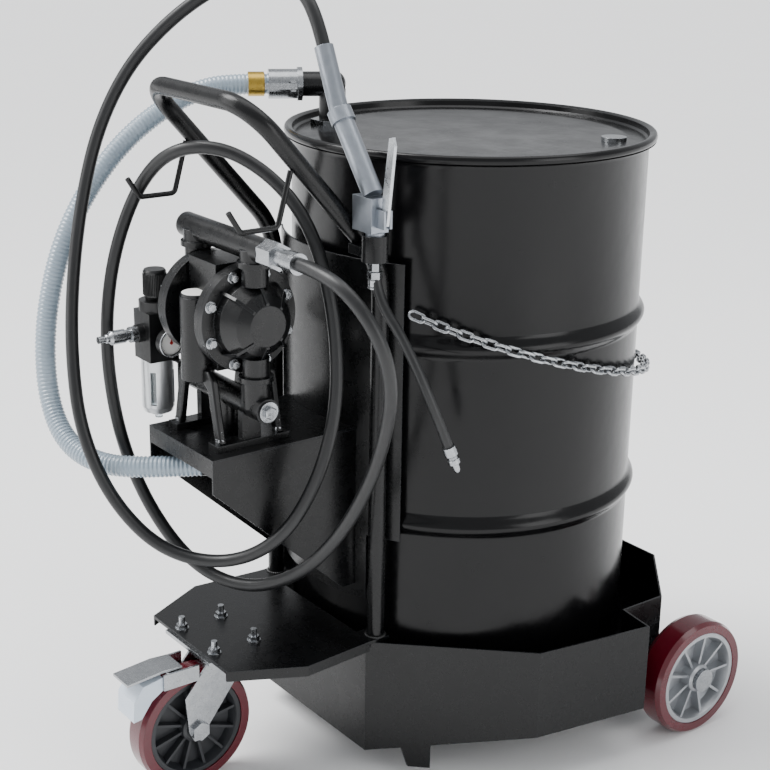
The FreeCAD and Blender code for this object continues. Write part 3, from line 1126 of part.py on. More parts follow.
def build_chain():
    """Oval links round the drum, dropping from both edges of the cradle to the back."""
    radius = num("drum_radius + hoop_height + chain_clear")
    half_gap = num("cradle_wide_angle") / 2 + num("chain_start_angle")
    start, stop = math.radians(-90 + half_gap), math.radians(270 - half_gap)
    route = []
    steps = 720
    for i in range(steps + 1):
        share = i / steps
        angle = start + (stop - start) * share
        height = num("chain_top_z") - num("chain_drop") * math.sin(math.pi * share)
        route.append(V(radius * math.cos(angle), radius * math.sin(angle), height))
    pitch = num("link_length - 4 * chain_wire - link_play")
    travelled, last, places = pitch / 2, route[0], []
    for here in route[1:]:
        step = here.distanceToPoint(last)
        while travelled <= step:
            way = (here - last).normalize()
            places.append((last + way * travelled, way))
            travelled += pitch
        travelled -= step
        last = here
    straight = num("link_length - link_width") / 2
    bend = num("link_width") / 2 - num("chain_wire")
    oval = Part.Wire([
        Part.LineSegment(V(-straight, bend, 0), V(straight, bend, 0)).toShape(),
        Part.Arc(V(straight, bend, 0), V(straight + bend, 0, 0), V(straight, -bend, 0)).toShape(),
        Part.LineSegment(V(straight, -bend, 0), V(-straight, -bend, 0)).toShape(),
        Part.Arc(V(-straight, -bend, 0), V(-straight - bend, 0, 0), V(-straight, bend, 0)).toShape(),
    ])
    section = Part.Wire(Part.makeCircle(num("chain_wire"), V(0, bend, 0), X_AXIS))
    link = oval.makePipeShell([section], True, False)
    links = []
    for i, (place, way) in enumerate(places):
        outward = V(place.x, place.y, 0).normalize()
        side = way.cross(outward).normalize()
        face = FreeCAD.Rotation(way, side, outward, "XYZ")
        quarter = FreeCAD.Rotation(X_AXIS, 45 if i % 2 else -45)
        copy = link.copy()
        copy.Placement = FreeCAD.Placement(place, face.multiply(quarter))
        links.append(copy)
    chain = doc.addObject("Part::Feature", "chain_links")
    chain.Shape = Part.makeCompound(links)
    node("drum_chain", chain)


def build_delivery():
    node("delivery_hose", hose("delivery_hose_sweep", DELIVERY_ROUTE, "hose_radius"))
    build_gun()
    build_chain()


# ---------------------------------------------------------------- check and write
def check_document():
    doc.recompute()
    for obj in doc.Objects:
        bad = {"Invalid", "Error"} & set(obj.State)
        if bad:
            raise RuntimeError(f"{obj.Name} ({obj.Label}) is {obj.State}")
    for name, obj in NODES.items():
        shape = obj.Shape
        if shape.isNull() or not shape.isValid() or not shape.Solids:
            raise RuntimeError(f"{name} has no valid shape")
    for sweep, radius, length in CORDS:
        ideal = math.pi * radius ** 2 * length
        if abs(sweep.Shape.Volume - ideal) > 0.01 * ideal:
            raise RuntimeError(f"{sweep.Label}: volume {sweep.Shape.Volume:.0f} of {ideal:.0f}")


def write_parts():
    os.makedirs("parts", exist_ok=True)
    for name, obj in NODES.items():
        obj.Shape.exportStep(os.path.join("parts", f"{name}.step"))
    print(f"{len(NODES)} nodes written")


build_tray()
build_caster_plate()
build_handle()
build_cradle()
build_shelf()
build_hooks()
build_axle()
build_drum()
build_suction()
build_wheels()
build_caster()
build_pump()
build_regulator()
build_delivery()
check_document()
write_parts()
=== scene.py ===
"""Looks of a mobile gear-oil rig: drum trolley, diaphragm pump, hoses and control gun."""

import json
import logging
import math
from dataclasses import dataclass, field
from enum import Enum

import bmesh
import bpy
from mathutils import Matrix, Vector

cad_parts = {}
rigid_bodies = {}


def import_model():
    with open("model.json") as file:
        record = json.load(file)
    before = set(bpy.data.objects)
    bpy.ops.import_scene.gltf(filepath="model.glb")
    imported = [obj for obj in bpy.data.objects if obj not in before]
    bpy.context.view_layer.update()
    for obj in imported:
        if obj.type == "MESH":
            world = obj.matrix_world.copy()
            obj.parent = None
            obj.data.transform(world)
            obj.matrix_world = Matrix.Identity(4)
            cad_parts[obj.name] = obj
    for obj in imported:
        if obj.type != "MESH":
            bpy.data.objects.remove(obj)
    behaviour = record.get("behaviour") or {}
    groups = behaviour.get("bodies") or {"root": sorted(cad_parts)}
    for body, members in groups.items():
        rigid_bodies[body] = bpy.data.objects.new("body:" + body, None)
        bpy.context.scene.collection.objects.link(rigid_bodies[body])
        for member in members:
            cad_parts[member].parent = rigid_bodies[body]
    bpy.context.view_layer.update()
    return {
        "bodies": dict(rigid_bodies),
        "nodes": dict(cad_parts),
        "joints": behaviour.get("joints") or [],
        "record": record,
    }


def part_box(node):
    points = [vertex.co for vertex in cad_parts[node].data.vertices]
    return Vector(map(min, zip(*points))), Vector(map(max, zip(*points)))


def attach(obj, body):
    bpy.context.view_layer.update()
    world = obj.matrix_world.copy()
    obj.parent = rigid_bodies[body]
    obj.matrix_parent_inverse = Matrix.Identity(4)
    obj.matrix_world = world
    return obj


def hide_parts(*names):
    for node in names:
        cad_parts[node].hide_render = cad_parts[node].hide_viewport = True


log = logging.getLogger("gear_oil_rig")
MM = 0.001
BYTE = 255
SRGB_KNEE, SRGB_SLOPE, SRGB_LIFT, SRGB_POWER = 0.04045, 12.92, 0.055, 2.4
EDGE_SAMPLES = 4
# Painted edge highlight: where it starts and reaches full strength, measured as the dot of the
# bevelled and true normals, and its strongest share.
HIGHLIGHT_STARTS, HIGHLIGHT_FULL, HIGHLIGHT_MOST = 0.97, 0.80, 0.8
SCUFF_SHARE = 0.35
RELIEF_SHARE = 0.3
COAT_ROUGH = 0.08
DRAWN_STRETCH = 0.06
TINY = 1e-7
UP = (0, 0, 1)
SIDEWAYS = (1, 0, 0)
QUARTER = math.pi / 2
PLACED = Matrix.Identity(3)


class Grain(Enum):
    """How a surface was made, which sets the shape of its fine relief."""

    ORANGE_PEEL = "orange peel"
    SPANGLE = "spangle"
    MOULDED = "moulded"
    DRAWN = "drawn"


# ---------------------------------------------------------------- finishes
def linear(code: str, alpha: float = 1.0) -> tuple[float, float, float, float]:
    """Turn an sRGB hex colour into linear values.

    Args:
        code: six hex digits.
        alpha: opacity, carried through.

    Returns:
        Linear red, green, blue and alpha.
    """
    out = []
    for i in (0, 2, 4):
        value = int(code[i:i + 2], 16) / BYTE
        out.append(value / SRGB_SLOPE if value <= SRGB_KNEE
                   else ((value + SRGB_LIFT) / (1 + SRGB_LIFT)) ** SRGB_POWER)
    return (out[0], out[1], out[2], alpha)


def add(tree: bpy.types.NodeTree, kind: str, links: dict | None = None,
        attrs: dict | None = None, **values: object) -> bpy.types.Node:
    """Add one node with its settings and links.

    Args:
        tree: the node tree.
        kind: the node's type name.
        links: input name or index to the output socket that feeds it.
        attrs: properties of the node itself.
        values: input values, with underscores for spaces in the input's name.

    Returns:
        The new node.
    """
    node = tree.nodes.new(kind)
    for key, value in (attrs or {}).items():
        setattr(node, key, value)
    for key, value in values.items():
        node.inputs[key.replace("_", " ")].default_value = value
    for key, socket in (links or {}).items():
        tree.links.new(socket, node.inputs[key])
    return node


@dataclass(frozen=True)
class Finish:
    """One real surface: its colours, gloss and fine relief, with sizes in millimetres."""

    name: str
    base: str
    mottle: str
    metallic: float = 0.0
    rough: tuple[float, float] = (0.3, 0.4)
    grain: Grain = Grain.ORANGE_PEEL
    grain_mm: float = 2.0
    relief: float = 0.05
    mottle_mm: float = 60.0
    # Colour of the painted highlight mixed in along rounded edges; empty for none.
    edge: str = ""
    edge_mm: float = 0.8
    coat: float = 0.0
    clear: float = 0.0
    ior: float = 1.5
    specular: float = 0.5

    def build(self) -> bpy.types.Material:
        """Make the node material.

        Returns:
            The material, ready to assign.
        """
        mat = bpy.data.materials.new(self.name)
        mat.use_nodes = True
        tree = mat.node_tree
        tree.nodes.clear()
        where = add(tree, "ShaderNodeTexCoord").outputs["Object"]
        cloud = add(tree, "ShaderNodeTexNoise", {"Vector": where}, Scale=1 / (self.mottle_mm * MM),
                    Detail=4.0, Roughness=0.6)
        tone = add(tree, "ShaderNodeMix", {"Factor": cloud.outputs["Fac"]},
                   {"data_type": "RGBA"})
        tone.inputs["A"].default_value = linear(self.base)
        tone.inputs["B"].default_value = linear(self.mottle)
        colour = tone.outputs["Result"]
        soft = add(tree, "ShaderNodeBevel", attrs={"samples": EDGE_SAMPLES},
                   Radius=self.edge_mm * MM)
        # Painted highlight: a lighter colour mixed in where the bevelled normal turns away from the
        # true one, along the edges.
        if self.edge:
            flat = add(tree, "ShaderNodeNewGeometry").outputs["Normal"]
            bend = add(tree, "ShaderNodeVectorMath", {0: soft.outputs["Normal"], 1: flat},
                       {"operation": "DOT_PRODUCT"})
            edge_highlight = add(tree, "ShaderNodeMapRange", {"Value": bend.outputs["Value"]},
                       From_Min=HIGHLIGHT_STARTS, From_Max=HIGHLIGHT_FULL, To_Min=0.0, To_Max=HIGHLIGHT_MOST)
            highlight_mix = add(tree, "ShaderNodeMix", {"Factor": edge_highlight.outputs["Result"], "A": colour},
                      {"data_type": "RGBA"})
            highlight_mix.inputs["B"].default_value = linear(self.edge)
            colour = highlight_mix.outputs["Result"]
        scuff = add(tree, "ShaderNodeTexNoise", {"Vector": where},
                    Scale=1 / (self.mottle_mm * SCUFF_SHARE * MM), Detail=6.0, Roughness=0.7)
        gloss = add(tree, "ShaderNodeMapRange", {"Value": scuff.outputs["Fac"]}, From_Min=0.3,
                    From_Max=0.7, To_Min=self.rough[0], To_Max=self.rough[1])
        bump = add(tree, "ShaderNodeBump", {"Height": self.height(tree, where),
                                            "Normal": soft.outputs["Normal"]},
                   Strength=self.relief, Distance=self.grain_mm * MM * RELIEF_SHARE)
        shader = add(tree, "ShaderNodeBsdfPrincipled",
                     {"Base Color": colour, "Roughness": gloss.outputs["Result"],
                      "Normal": bump.outputs["Normal"]},
                     Metallic=self.metallic, IOR=self.ior, Coat_Weight=self.coat,
                     Coat_Roughness=COAT_ROUGH, Transmission_Weight=self.clear,
                     Specular_IOR_Level=self.specular)
        add(tree, "ShaderNodeOutputMaterial", {"Surface": shader.outputs["BSDF"]})
        return mat

    def height(self, tree: bpy.types.NodeTree, where: bpy.types.NodeSocket) -> bpy.types.NodeSocket:
        """Give the relief's height for this kind of grain.

        Args:
            tree: the material's tree.
            where: the coordinate socket.

        Returns:
            The socket that carries the height.
        """
        scale = 1 / (self.grain_mm * MM)
        if self.grain is Grain.SPANGLE:
            return add(tree, "ShaderNodeTexVoronoi", {"Vector": where}, Scale=scale,
                       Randomness=1.0).outputs["Distance"]
        if self.grain is Grain.DRAWN:
            long_way = add(tree, "ShaderNodeMapping", {"Vector": where},
                           Scale=(1.0, 1.0, DRAWN_STRETCH))
            return add(tree, "ShaderNodeTexNoise", {"Vector": long_way.outputs["Vector"]},
                       Scale=scale, Detail=3.0).outputs["Fac"]
        detail = 2.0 if self.grain is Grain.ORANGE_PEEL else 8.0
        return add(tree, "ShaderNodeTexNoise", {"Vector": where}, Scale=scale,
                   Detail=detail).outputs["Fac"]


FINISHES = {
    # Polyester powder coat on laser-cut sheet: gloss, light orange peel, with a painted highlight
    # along the edges.
    "cart_black": Finish("powder_coat_black", "050506", "0a0b0c", rough=(0.22, 0.34), grain_mm=2.4,
                         relief=0.10, edge="3a3d42", edge_mm=1.2, specular=0.32),
    # Stoving enamel on a rolled drum: deep gloss with soft waves and handling scuffs.
    "drum_black": Finish("stoving_enamel_black", "040405", "080809", rough=(0.16, 0.28),
                         grain_mm=38, relief=0.035, mottle_mm=180, specular=0.26),
    # Epoxy coat on die-cast aluminium: satin, faintly pebbled, with a painted highlight along the
    # edges.
    "pump_black": Finish("cast_epoxy_black", "060607", "0c0d0e", rough=(0.22, 0.36), grain_mm=1.6,
                         relief=0.18, edge="34373c", edge_mm=1.4, specular=0.42),
    # Bright zinc plate on steel: cool, slightly blue, cloudy gloss.
    "zinc_plate": Finish("zinc_plate_bright", "8f9296", "b4b6b8", metallic=1.0, rough=(0.16, 0.34),
                         grain=Grain.SPANGLE, grain_mm=3.0, relief=0.03, mottle_mm=14,
                         edge_mm=0.5),
    # Yellow chromate on a band clamp: warm, with a faint rainbow.
    "amber_band": Finish("yellow_chromate", "a8862f", "c2a75a", metallic=1.0, rough=(0.24, 0.4),
                         mottle_mm=10, relief=0.02),
    # Clear PVC over a wire helix: grey-blue, glossy, paler on the ribs.
    "clear_hose": Finish("clear_pvc_helix", "8798a6", "a9b8c4", rough=(0.16, 0.28),
                         grain=Grain.MOULDED, grain_mm=1.5, relief=0.03, mottle_mm=40,
                         coat=0.4, clear=0.15),
    # Nitrile cover cured in cloth wrap: satin black with a fine weave left in it.
    "black_hose": Finish("wrapped_rubber_black", "08090a", "101113", rough=(0.34, 0.48),
                         grain=Grain.MOULDED, grain_mm=0.8, relief=0.12, mottle_mm=50),
    # Cast polyurethane tread: deep burgundy, glossy.
    "burgundy_tread": Finish("polyurethane_burgundy", "4a0414", "5a0719", rough=(0.14, 0.28),
                             grain_mm=6, relief=0.03, mottle_mm=50, coat=0.25, edge_mm=1.5),
    # Cast aluminium core under silver paint.
    "silver_core": Finish("silver_enamel_core", "9a9da1", "b4b6b9", metallic=0.75,
                          rough=(0.3, 0.42), grain_mm=1.2, relief=0.08, mottle_mm=25),
    # Glass-filled nylon core: dark grey, matt.
    "grey_core": Finish("filled_nylon_grey", "1c1e21", "2a2c30", rough=(0.42, 0.55),
                        grain=Grain.MOULDED, grain_mm=0.9, relief=0.1, mottle_mm=30),
    # Moulded cover of the brake: pale blue-white, semi-gloss.
    "pale_pad": Finish("moulded_acetal_pale", "bcc9d8", "d4dde7", rough=(0.3, 0.42),
                       grain=Grain.MOULDED, grain_mm=1.2, relief=0.06, mottle_mm=30),
    # Moulded nylon housings of the air set: satin black.
    "black_plastic": Finish("moulded_nylon_black", "070708", "0d0e0f", rough=(0.3, 0.45),
                            grain=Grain.MOULDED, grain_mm=0.7, relief=0.12, mottle_mm=20),
    "inner_rubber": Finish("moulded_nitrile", "151515", "1d1d1d", rough=(0.5, 0.65),
                           grain=Grain.MOULDED),
    # Polycarbonate bowl: clear, with a faint cool cast.
    "clear_bowl": Finish("polycarbonate_clear", "dfe8ec", "e8eff2", rough=(0.06, 0.12),
                         relief=0.01, clear=0.85, ior=1.58),
    # Pressed steel bowl guard: satin, drawn upwards.
    "bowl_steel": Finish("pressed_steel_satin", "c6c9cc", "dcdedf", metallic=0.9,
                         rough=(0.26, 0.4), grain=Grain.DRAWN, grain_mm=0.8, relief=0.05,
                         mottle_mm=16),
    "needle_red": Finish("needle_enamel_red", "a01812", "b0201a", relief=0.01),
    # Tumbled die-cast alloy of the gun: blue-grey, soft sheen.
    "gun_alloy": Finish("tumbled_alloy", "858b93", "9ea3aa", metallic=0.9, rough=(0.28, 0.42),
                        grain=Grain.MOULDED, grain_mm=0.9, relief=0.10, mottle_mm=20),
    "gun_lever": Finish("zinc_plate_lever", "b4b8bc", "d0d3d6", metallic=1.0, rough=(0.22, 0.36),
                        grain=Grain.SPANGLE, grain_mm=3.0, relief=0.03, mottle_mm=14),
    "spout_black": Finish("spout_rubber_black", "08090a", "101113", rough=(0.36, 0.5),
                          grain=Grain.MOULDED, grain_mm=0.8, relief=0.12, mottle_mm=40),
    "dial_white": Finish("dial_enamel_white", "e6e6e2", "f0f0ed", rough=(0.3, 0.4), relief=0.01),
    "bead": Finish("weld_bead_black", "060607", "0c0d0e", rough=(0.3, 0.42), grain_mm=1.5,
                   relief=0.2),
    "floor": Finish("studio_floor_pale", "f8f8f8", "fbfbfb", rough=(0.7, 0.8), grain_mm=8,
                    relief=0.01, mottle_mm=900),
}
OVERRIDES = {"hose_hooks": "cart_black"}


@dataclass
class Palette:
    """The finishes that are in use, each built once."""

    built: dict[str, bpy.types.Material] = field(default_factory=dict)

    def get(self, slot: str) -> bpy.types.Material:
        """Give the material of a slot, building it at its first use.

        Args:
            slot: the finish's key.

        Returns:
            The material.
        """
        if slot not in self.built:
            self.built[slot] = FINISHES[slot].build()
        return self.built[slot]

    def dress_nodes(self, frame: dict) -> None:
        """Put each CAD node's finish in its material slots.

        Args:
            frame: the loaded frame.
        """
        slots = {part["node"]: part["material_slot"] for part in frame["record"]["subparts"]}
        for name, obj in frame["nodes"].items():
            material = self.get(OVERRIDES.get(name, slots[name]))
            if not obj.material_slots:
                obj.data.materials.append(material)
            for place in obj.material_slots:
                place.material = material


PALETTE = Palette()


# ---------------------------------------------------------------- mesh making
Shape = tuple[list[Vector], list[list[int]]]
Pairs = tuple[tuple[float, float], ...]


def from_mm(pairs: Pairs, radius: float = 0.0, height: float = 0.0) -> list[tuple[float, float]]:
    """Turn pairs in millimetres into metres, measured from a radius and a height.

    Args:
        pairs: two numbers each, in millimetres.
        radius: added to the first of each pair, in metres.
        height: added to the second, in metres.

    Returns:
        The pairs in metres.
    """
    return [(radius + first * MM, height + second * MM) for first, second in pairs]


def lathe(profile: list[tuple[float, float]], origin: tuple, axis: tuple = UP,
          sides: int = 48, bored: bool = False) -> Shape:
    """Turn a profile of (radius, height) pairs about an axis, closed at both ends.

    Args:
        profile: radius and height pairs in metres, from the foot to the top.
        origin: the foot of the axis.
        axis: direction of the height.
        sides: number of sides; 6 gives a hexagon.
        bored: whether the profile is a closed loop round a bore.

    Returns:
        Points and faces.
    """
    turn = facing(axis)
    points: list[Vector] = []
    rings: list[list[int]] = []
    for radius, height in profile:
        ring = []
        count = 1 if radius < TINY else sides
        for k in range(count):
            angle = 2 * math.pi * k / sides
            local = Vector((radius * math.cos(angle), radius * math.sin(angle), height))
            ring.append(len(points))
            points.append(Vector(origin) + turn @ local)
        rings.append(ring)
    faces: list[list[int]] = []
    following = rings[1:] + rings[:1] if bored else rings[1:]
    for low, high in zip(rings, following):
        for k in range(sides):
            quad = [low[k % len(low)], low[(k + 1) % len(low)],
                    high[(k + 1) % len(high)], high[k % len(high)]]
            faces.append(list(dict.fromkeys(quad)))
    if not bored and len(rings[0]) > 1:
        faces.append(rings[0][::-1])
    if not bored and len(rings[-1]) > 1:
        faces.append(rings[-1])
    return points, [face for face in faces if len(face) > 2]


def slab(outline: list[tuple[float, float]], thick: float, origin: tuple,
         turn: Matrix = PLACED) -> Shape:
    """Make a flat plate of an outline drawn in X and Y, centred on its thickness.

    Args:
        outline: corners in metres, anticlockwise.
        thick: thickness along Z.
        origin: where the outline's zero goes.
        turn: turn applied before it is placed.

    Returns:
        Points and faces.
    """
    count = len(outline)
    points = [Vector(origin) + turn @ Vector((x, y, z))
              for z in (-thick / 2, thick / 2) for x, y in outline]
    faces = [list(range(count))[::-1], list(range(count, 2 * count))]
    faces += [[i, (i + 1) % count, count + (i + 1) % count, count + i] for i in range(count)]
    return points, faces


def ring(major: float, minor: float, origin: tuple, axis: tuple = UP, ripple: int = 0,
         depth: float = 0.0, sides: int = 72, around: int = 12) -> Shape:
    """Make a torus, with a rippled top where it is a weld bead.

    Args:
        major: radius of the ring's centreline.
        minor: radius of its section.
        origin: its centre.
        axis: its axis.
        ripple: number of ripples round the ring.
        depth: how much the ripples swell the section.
        sides: steps round the ring.
        around: steps round the section.

    Returns:
        Points and faces.
    """
    turn = facing(axis)
    points, faces = [], []
    for k in range(sides):
        angle = 2 * math.pi * k / sides
        thick = minor + depth * abs(math.sin(ripple * angle / 2))
        for j in range(around):
            swing = 2 * math.pi * j / around
            reach = major + thick * math.cos(swing)
            local = Vector((reach * math.cos(angle), reach * math.sin(angle),
                            thick * math.sin(swing)))
            points.append(Vector(origin) + turn @ local)
            following, above = ((k + 1) % sides) * around, (j + 1) % around
            faces.append([k * around + j, following + j, following + above, k * around + above])
    return points, faces


def joined(*shapes: Shape) -> Shape:
    """Put several shapes in one list of points and faces.

    Args:
        shapes: the shapes, in order.

    Returns:
        Points and faces.
    """
    points, faces = [], []
    for some, sides in shapes:
        shift = len(points)
        points += some
        faces += [[index + shift for index in face] for face in sides]
    return points, faces


def mesh_object(name: str, shape: Shape, slot: str, sharp: float = 32.0) -> bpy.types.Object:
    """Make an object of a shape, with its faces outwards and its edges kept crisp.

    Args:
        name: the piece's name.
        shape: points and faces.
        slot: finish to wear.
        sharp: angle in degrees above which an edge stays sharp.

    Returns:
        The new object, at the origin.
    """
    mesh = bpy.data.meshes.new(name)
    mesh.from_pydata([tuple(p) for p in shape[0]], [], shape[1])
    work = bmesh.new()
    work.from_mesh(mesh)
    bmesh.ops.remove_doubles(work, verts=work.verts, dist=TINY)
    bmesh.ops.recalc_face_normals(work, faces=work.faces)
    work.to_mesh(mesh)
    work.free()
    mesh.shade_smooth()
    mesh.set_sharp_from_angle(angle=math.radians(sharp))
    mesh.materials.append(PALETTE.get(slot))
    obj = bpy.data.objects.new(name, mesh)
    bpy.context.scene.collection.objects.link(obj)
    return obj


def round_edges(obj: bpy.types.Object, radius: float, steps: int = 2) -> None:
    """Bevel a piece's sharp edges and keep the result as its plain mesh.

    Args:
        obj: the piece.
        radius: width of the bevel.
        steps: faces across the bevel.
    """
    bevel = obj.modifiers.new("round", "BEVEL")
    bevel.width = radius
    bevel.segments = steps
    bevel.limit_method = "ANGLE"
    bpy.context.view_layer.update()
    graph = bpy.context.evaluated_depsgraph_get()
    mesh = bpy.data.meshes.new_from_object(obj.evaluated_get(graph))
    obj.modifiers.clear()
    obj.data = mesh


def settle(obj: bpy.types.Object, body: str, slot: str, *nodes: str) -> bpy.types.Object:
    """Let a piece ride on its body and hide the CAD nodes that it stands for.

    Args:
        obj: the piece.
        body: the body it moves with.
        slot: not used.
        nodes: CAD nodes that it replaces.

    Returns:
        The piece.
    """
    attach(obj, body)
    if nodes:
        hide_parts(*nodes)
    log.info("%s: %d faces on %s", obj.name,
             len(obj.data.polygons) if obj.type == "MESH" else 0, body)
    return obj


def repeat_tree() -> bpy.types.NodeTree:
    """Build the tree that sets one small part at every point of a mesh.

    Returns:
        The tree, with inputs Part, Size and Finish.
    """
    tree = bpy.data.node_groups.new("set_at_points", "GeometryNodeTree")
    face = tree.interface
    face.new_socket("Places", in_out="INPUT", socket_type="NodeSocketGeometry")
    face.new_socket("Part", in_out="INPUT", socket_type="NodeSocketObject")
    face.new_socket("Size", in_out="INPUT", socket_type="NodeSocketFloat").default_value = 1.0
    face.new_socket("Finish", in_out="INPUT", socket_type="NodeSocketMaterial")
    face.new_socket("Result", in_out="OUTPUT", socket_type="NodeSocketGeometry")
    ins = add(tree, "NodeGroupInput").outputs
    part = add(tree, "GeometryNodeObjectInfo", {"Object": ins["Part"]})
    turn = add(tree, "GeometryNodeInputNamedAttribute", attrs={"data_type": "FLOAT_VECTOR"},
               Name="turn")
    euler = add(tree, "FunctionNodeEulerToRotation", {"Euler": turn.outputs["Attribute"]})
    placed = add(tree, "GeometryNodeInstanceOnPoints",
                 {"Points": ins["Places"], "Instance": part.outputs["Geometry"],
                  "Rotation": euler.outputs["Rotation"], "Scale": ins["Size"]})
    real = add(tree, "GeometryNodeRealizeInstances", {"Geometry": placed.outputs["Instances"]})
    dressed = add(tree, "GeometryNodeSetMaterial", {"Geometry": real.outputs["Geometry"],
                                                    "Material": ins["Finish"]})
    add(tree, "NodeGroupOutput", {"Result": dressed.outputs["Geometry"]})
    return tree


def repeat(name: str, part: Shape, places: list[tuple[Vector, Matrix]], slot: str,
           size: float = 1.0) -> bpy.types.Object:
    """Set one small part at many places with Geometry Nodes, as one plain mesh.

    Args:
        name: the piece's name.
        part: the small part, made about the origin with +Z up.
        places: where each one stands and how it is turned.
        slot: finish to wear.
        size: scale of the part.

    Returns:
        The finished object.
    """
    seed = mesh_object(f"{name}_part", part, slot)
    points = bpy.data.meshes.new(f"{name}_places")
    points.from_pydata([tuple(spot) for spot, _ in places], [], [])
    turn = points.attributes.new("turn", "FLOAT_VECTOR", "POINT")
    for i, (_, matrix) in enumerate(places):
        turn.data[i].vector = matrix.to_euler()
    holder = bpy.data.objects.new(f"{name}_holder", points)
    bpy.context.scene.collection.objects.link(holder)
    tree = bpy.data.node_groups.get("set_at_points") or repeat_tree()
    modifier = holder.modifiers.new("set", "NODES")
    modifier.node_group = tree
    keys = {item.name: item.identifier for item in tree.interface.items_tree
            if item.in_out == "INPUT"}
    modifier[keys["Part"]] = seed
    modifier[keys["Size"]] = size
    modifier[keys["Finish"]] = PALETTE.get(slot)
    bpy.context.view_layer.update()
    graph = bpy.context.evaluated_depsgraph_get()
    mesh = bpy.data.meshes.new_from_object(holder.evaluated_get(graph))
    mesh.name = name
    obj = bpy.data.objects.new(name, mesh)
    bpy.context.scene.collection.objects.link(obj)
    for spare in (holder, seed):
        bpy.data.objects.remove(spare, do_unlink=True)
    return obj


def facing(direction: tuple) -> Matrix:
    """Give the turn that takes +Z to a direction.

    Args:
        direction: where +Z goes, of any length.

    Returns:
        The turn.
    """
    return Vector(UP).rotation_difference(Vector(direction).normalized()).to_matrix()


def spline_points(name: str, route: list[tuple[float, float, float]]) -> bpy.types.Object:
    """Make an open smooth curve with the route's points as its control points.

    Args:
        name: the curve's name.
        route: control points in millimetres.

    Returns:
        The curve object, with no thickness yet.
    """
    curve = bpy.data.curves.new(name, "CURVE")
    curve.dimensions = "3D"
    spline = curve.splines.new("NURBS")
    spline.points.add(len(route) - 1)
    for point, place in zip(spline.points, route):
        point.co = (place[0] * MM, place[1] * MM, place[2] * MM, 1.0)
    spline.order_u = 3
    spline.use_endpoint_u = True
    spline.resolution_u = 14
    obj = bpy.data.objects.new(name, curve)
    bpy.context.scene.collection.objects.link(obj)
    return obj


def centreline(obj: bpy.types.Object) -> list[Vector]:
    """Read the points of a curve that has no thickness, and remove the curve.

    Args:
        obj: the curve.

    Returns:
        Its points, from start to end.
    """
    bpy.context.view_layer.update()
    graph = bpy.context.evaluated_depsgraph_get()
    mesh = bpy.data.meshes.new_from_object(obj.evaluated_get(graph))
    points = [vertex.co.copy() for vertex in mesh.vertices]
    bpy.data.meshes.remove(mesh)
    bpy.data.objects.remove(obj, do_unlink=True)
    return points


def spaced(points: list[Vector], step: float) -> list[Vector]:
    """Walk along a line of points and give evenly spaced ones.

    Args:
        points: the line.
        step: the spacing.

    Returns:
        The spaced points, with the line's own end last.
    """
    out, left = [points[0]], step
    for a, b in zip(points, points[1:]):
        length = (b - a).length
        done = 0.0
        while length - done >= left > 0:
            done += left
            out.append(a.lerp(b, done / length))
            left = step
        left -= length - done
    out.append(points[-1])
    return out


def tube(path: list[Vector], radii: list[float], sides: int = 24) -> Shape:
    """Make a tube along a path with its own radius at each point, closed at both ends.

    Args:
        path: the centreline.
        radii: one radius for each point.
        sides: steps round the tube.

    Returns:
        Points and faces.
    """
    ways = [(b - a).normalized() for a, b in zip(path, path[1:])]
    ways.append(ways[-1])
    across = ways[0].orthogonal().normalized()
    points, faces = [], []
    for k, (centre, way, radius) in enumerate(zip(path, ways, radii)):
        across = (across - way * across.dot(way)).normalized()
        beside = way.cross(across)
        for j in range(sides):
            angle = 2 * math.pi * j / sides
            points.append(centre + (across * math.cos(angle) + beside * math.sin(angle)) * radius)
        if k:
            low, high = (k - 1) * sides, k * sides
            faces += [[low + j, low + (j + 1) % sides, high + (j + 1) % sides, high + j]
                      for j in range(sides)]
    faces.append(list(range(sides))[::-1])
    faces.append([len(points) - sides + j for j in range(sides)])
    return points, faces


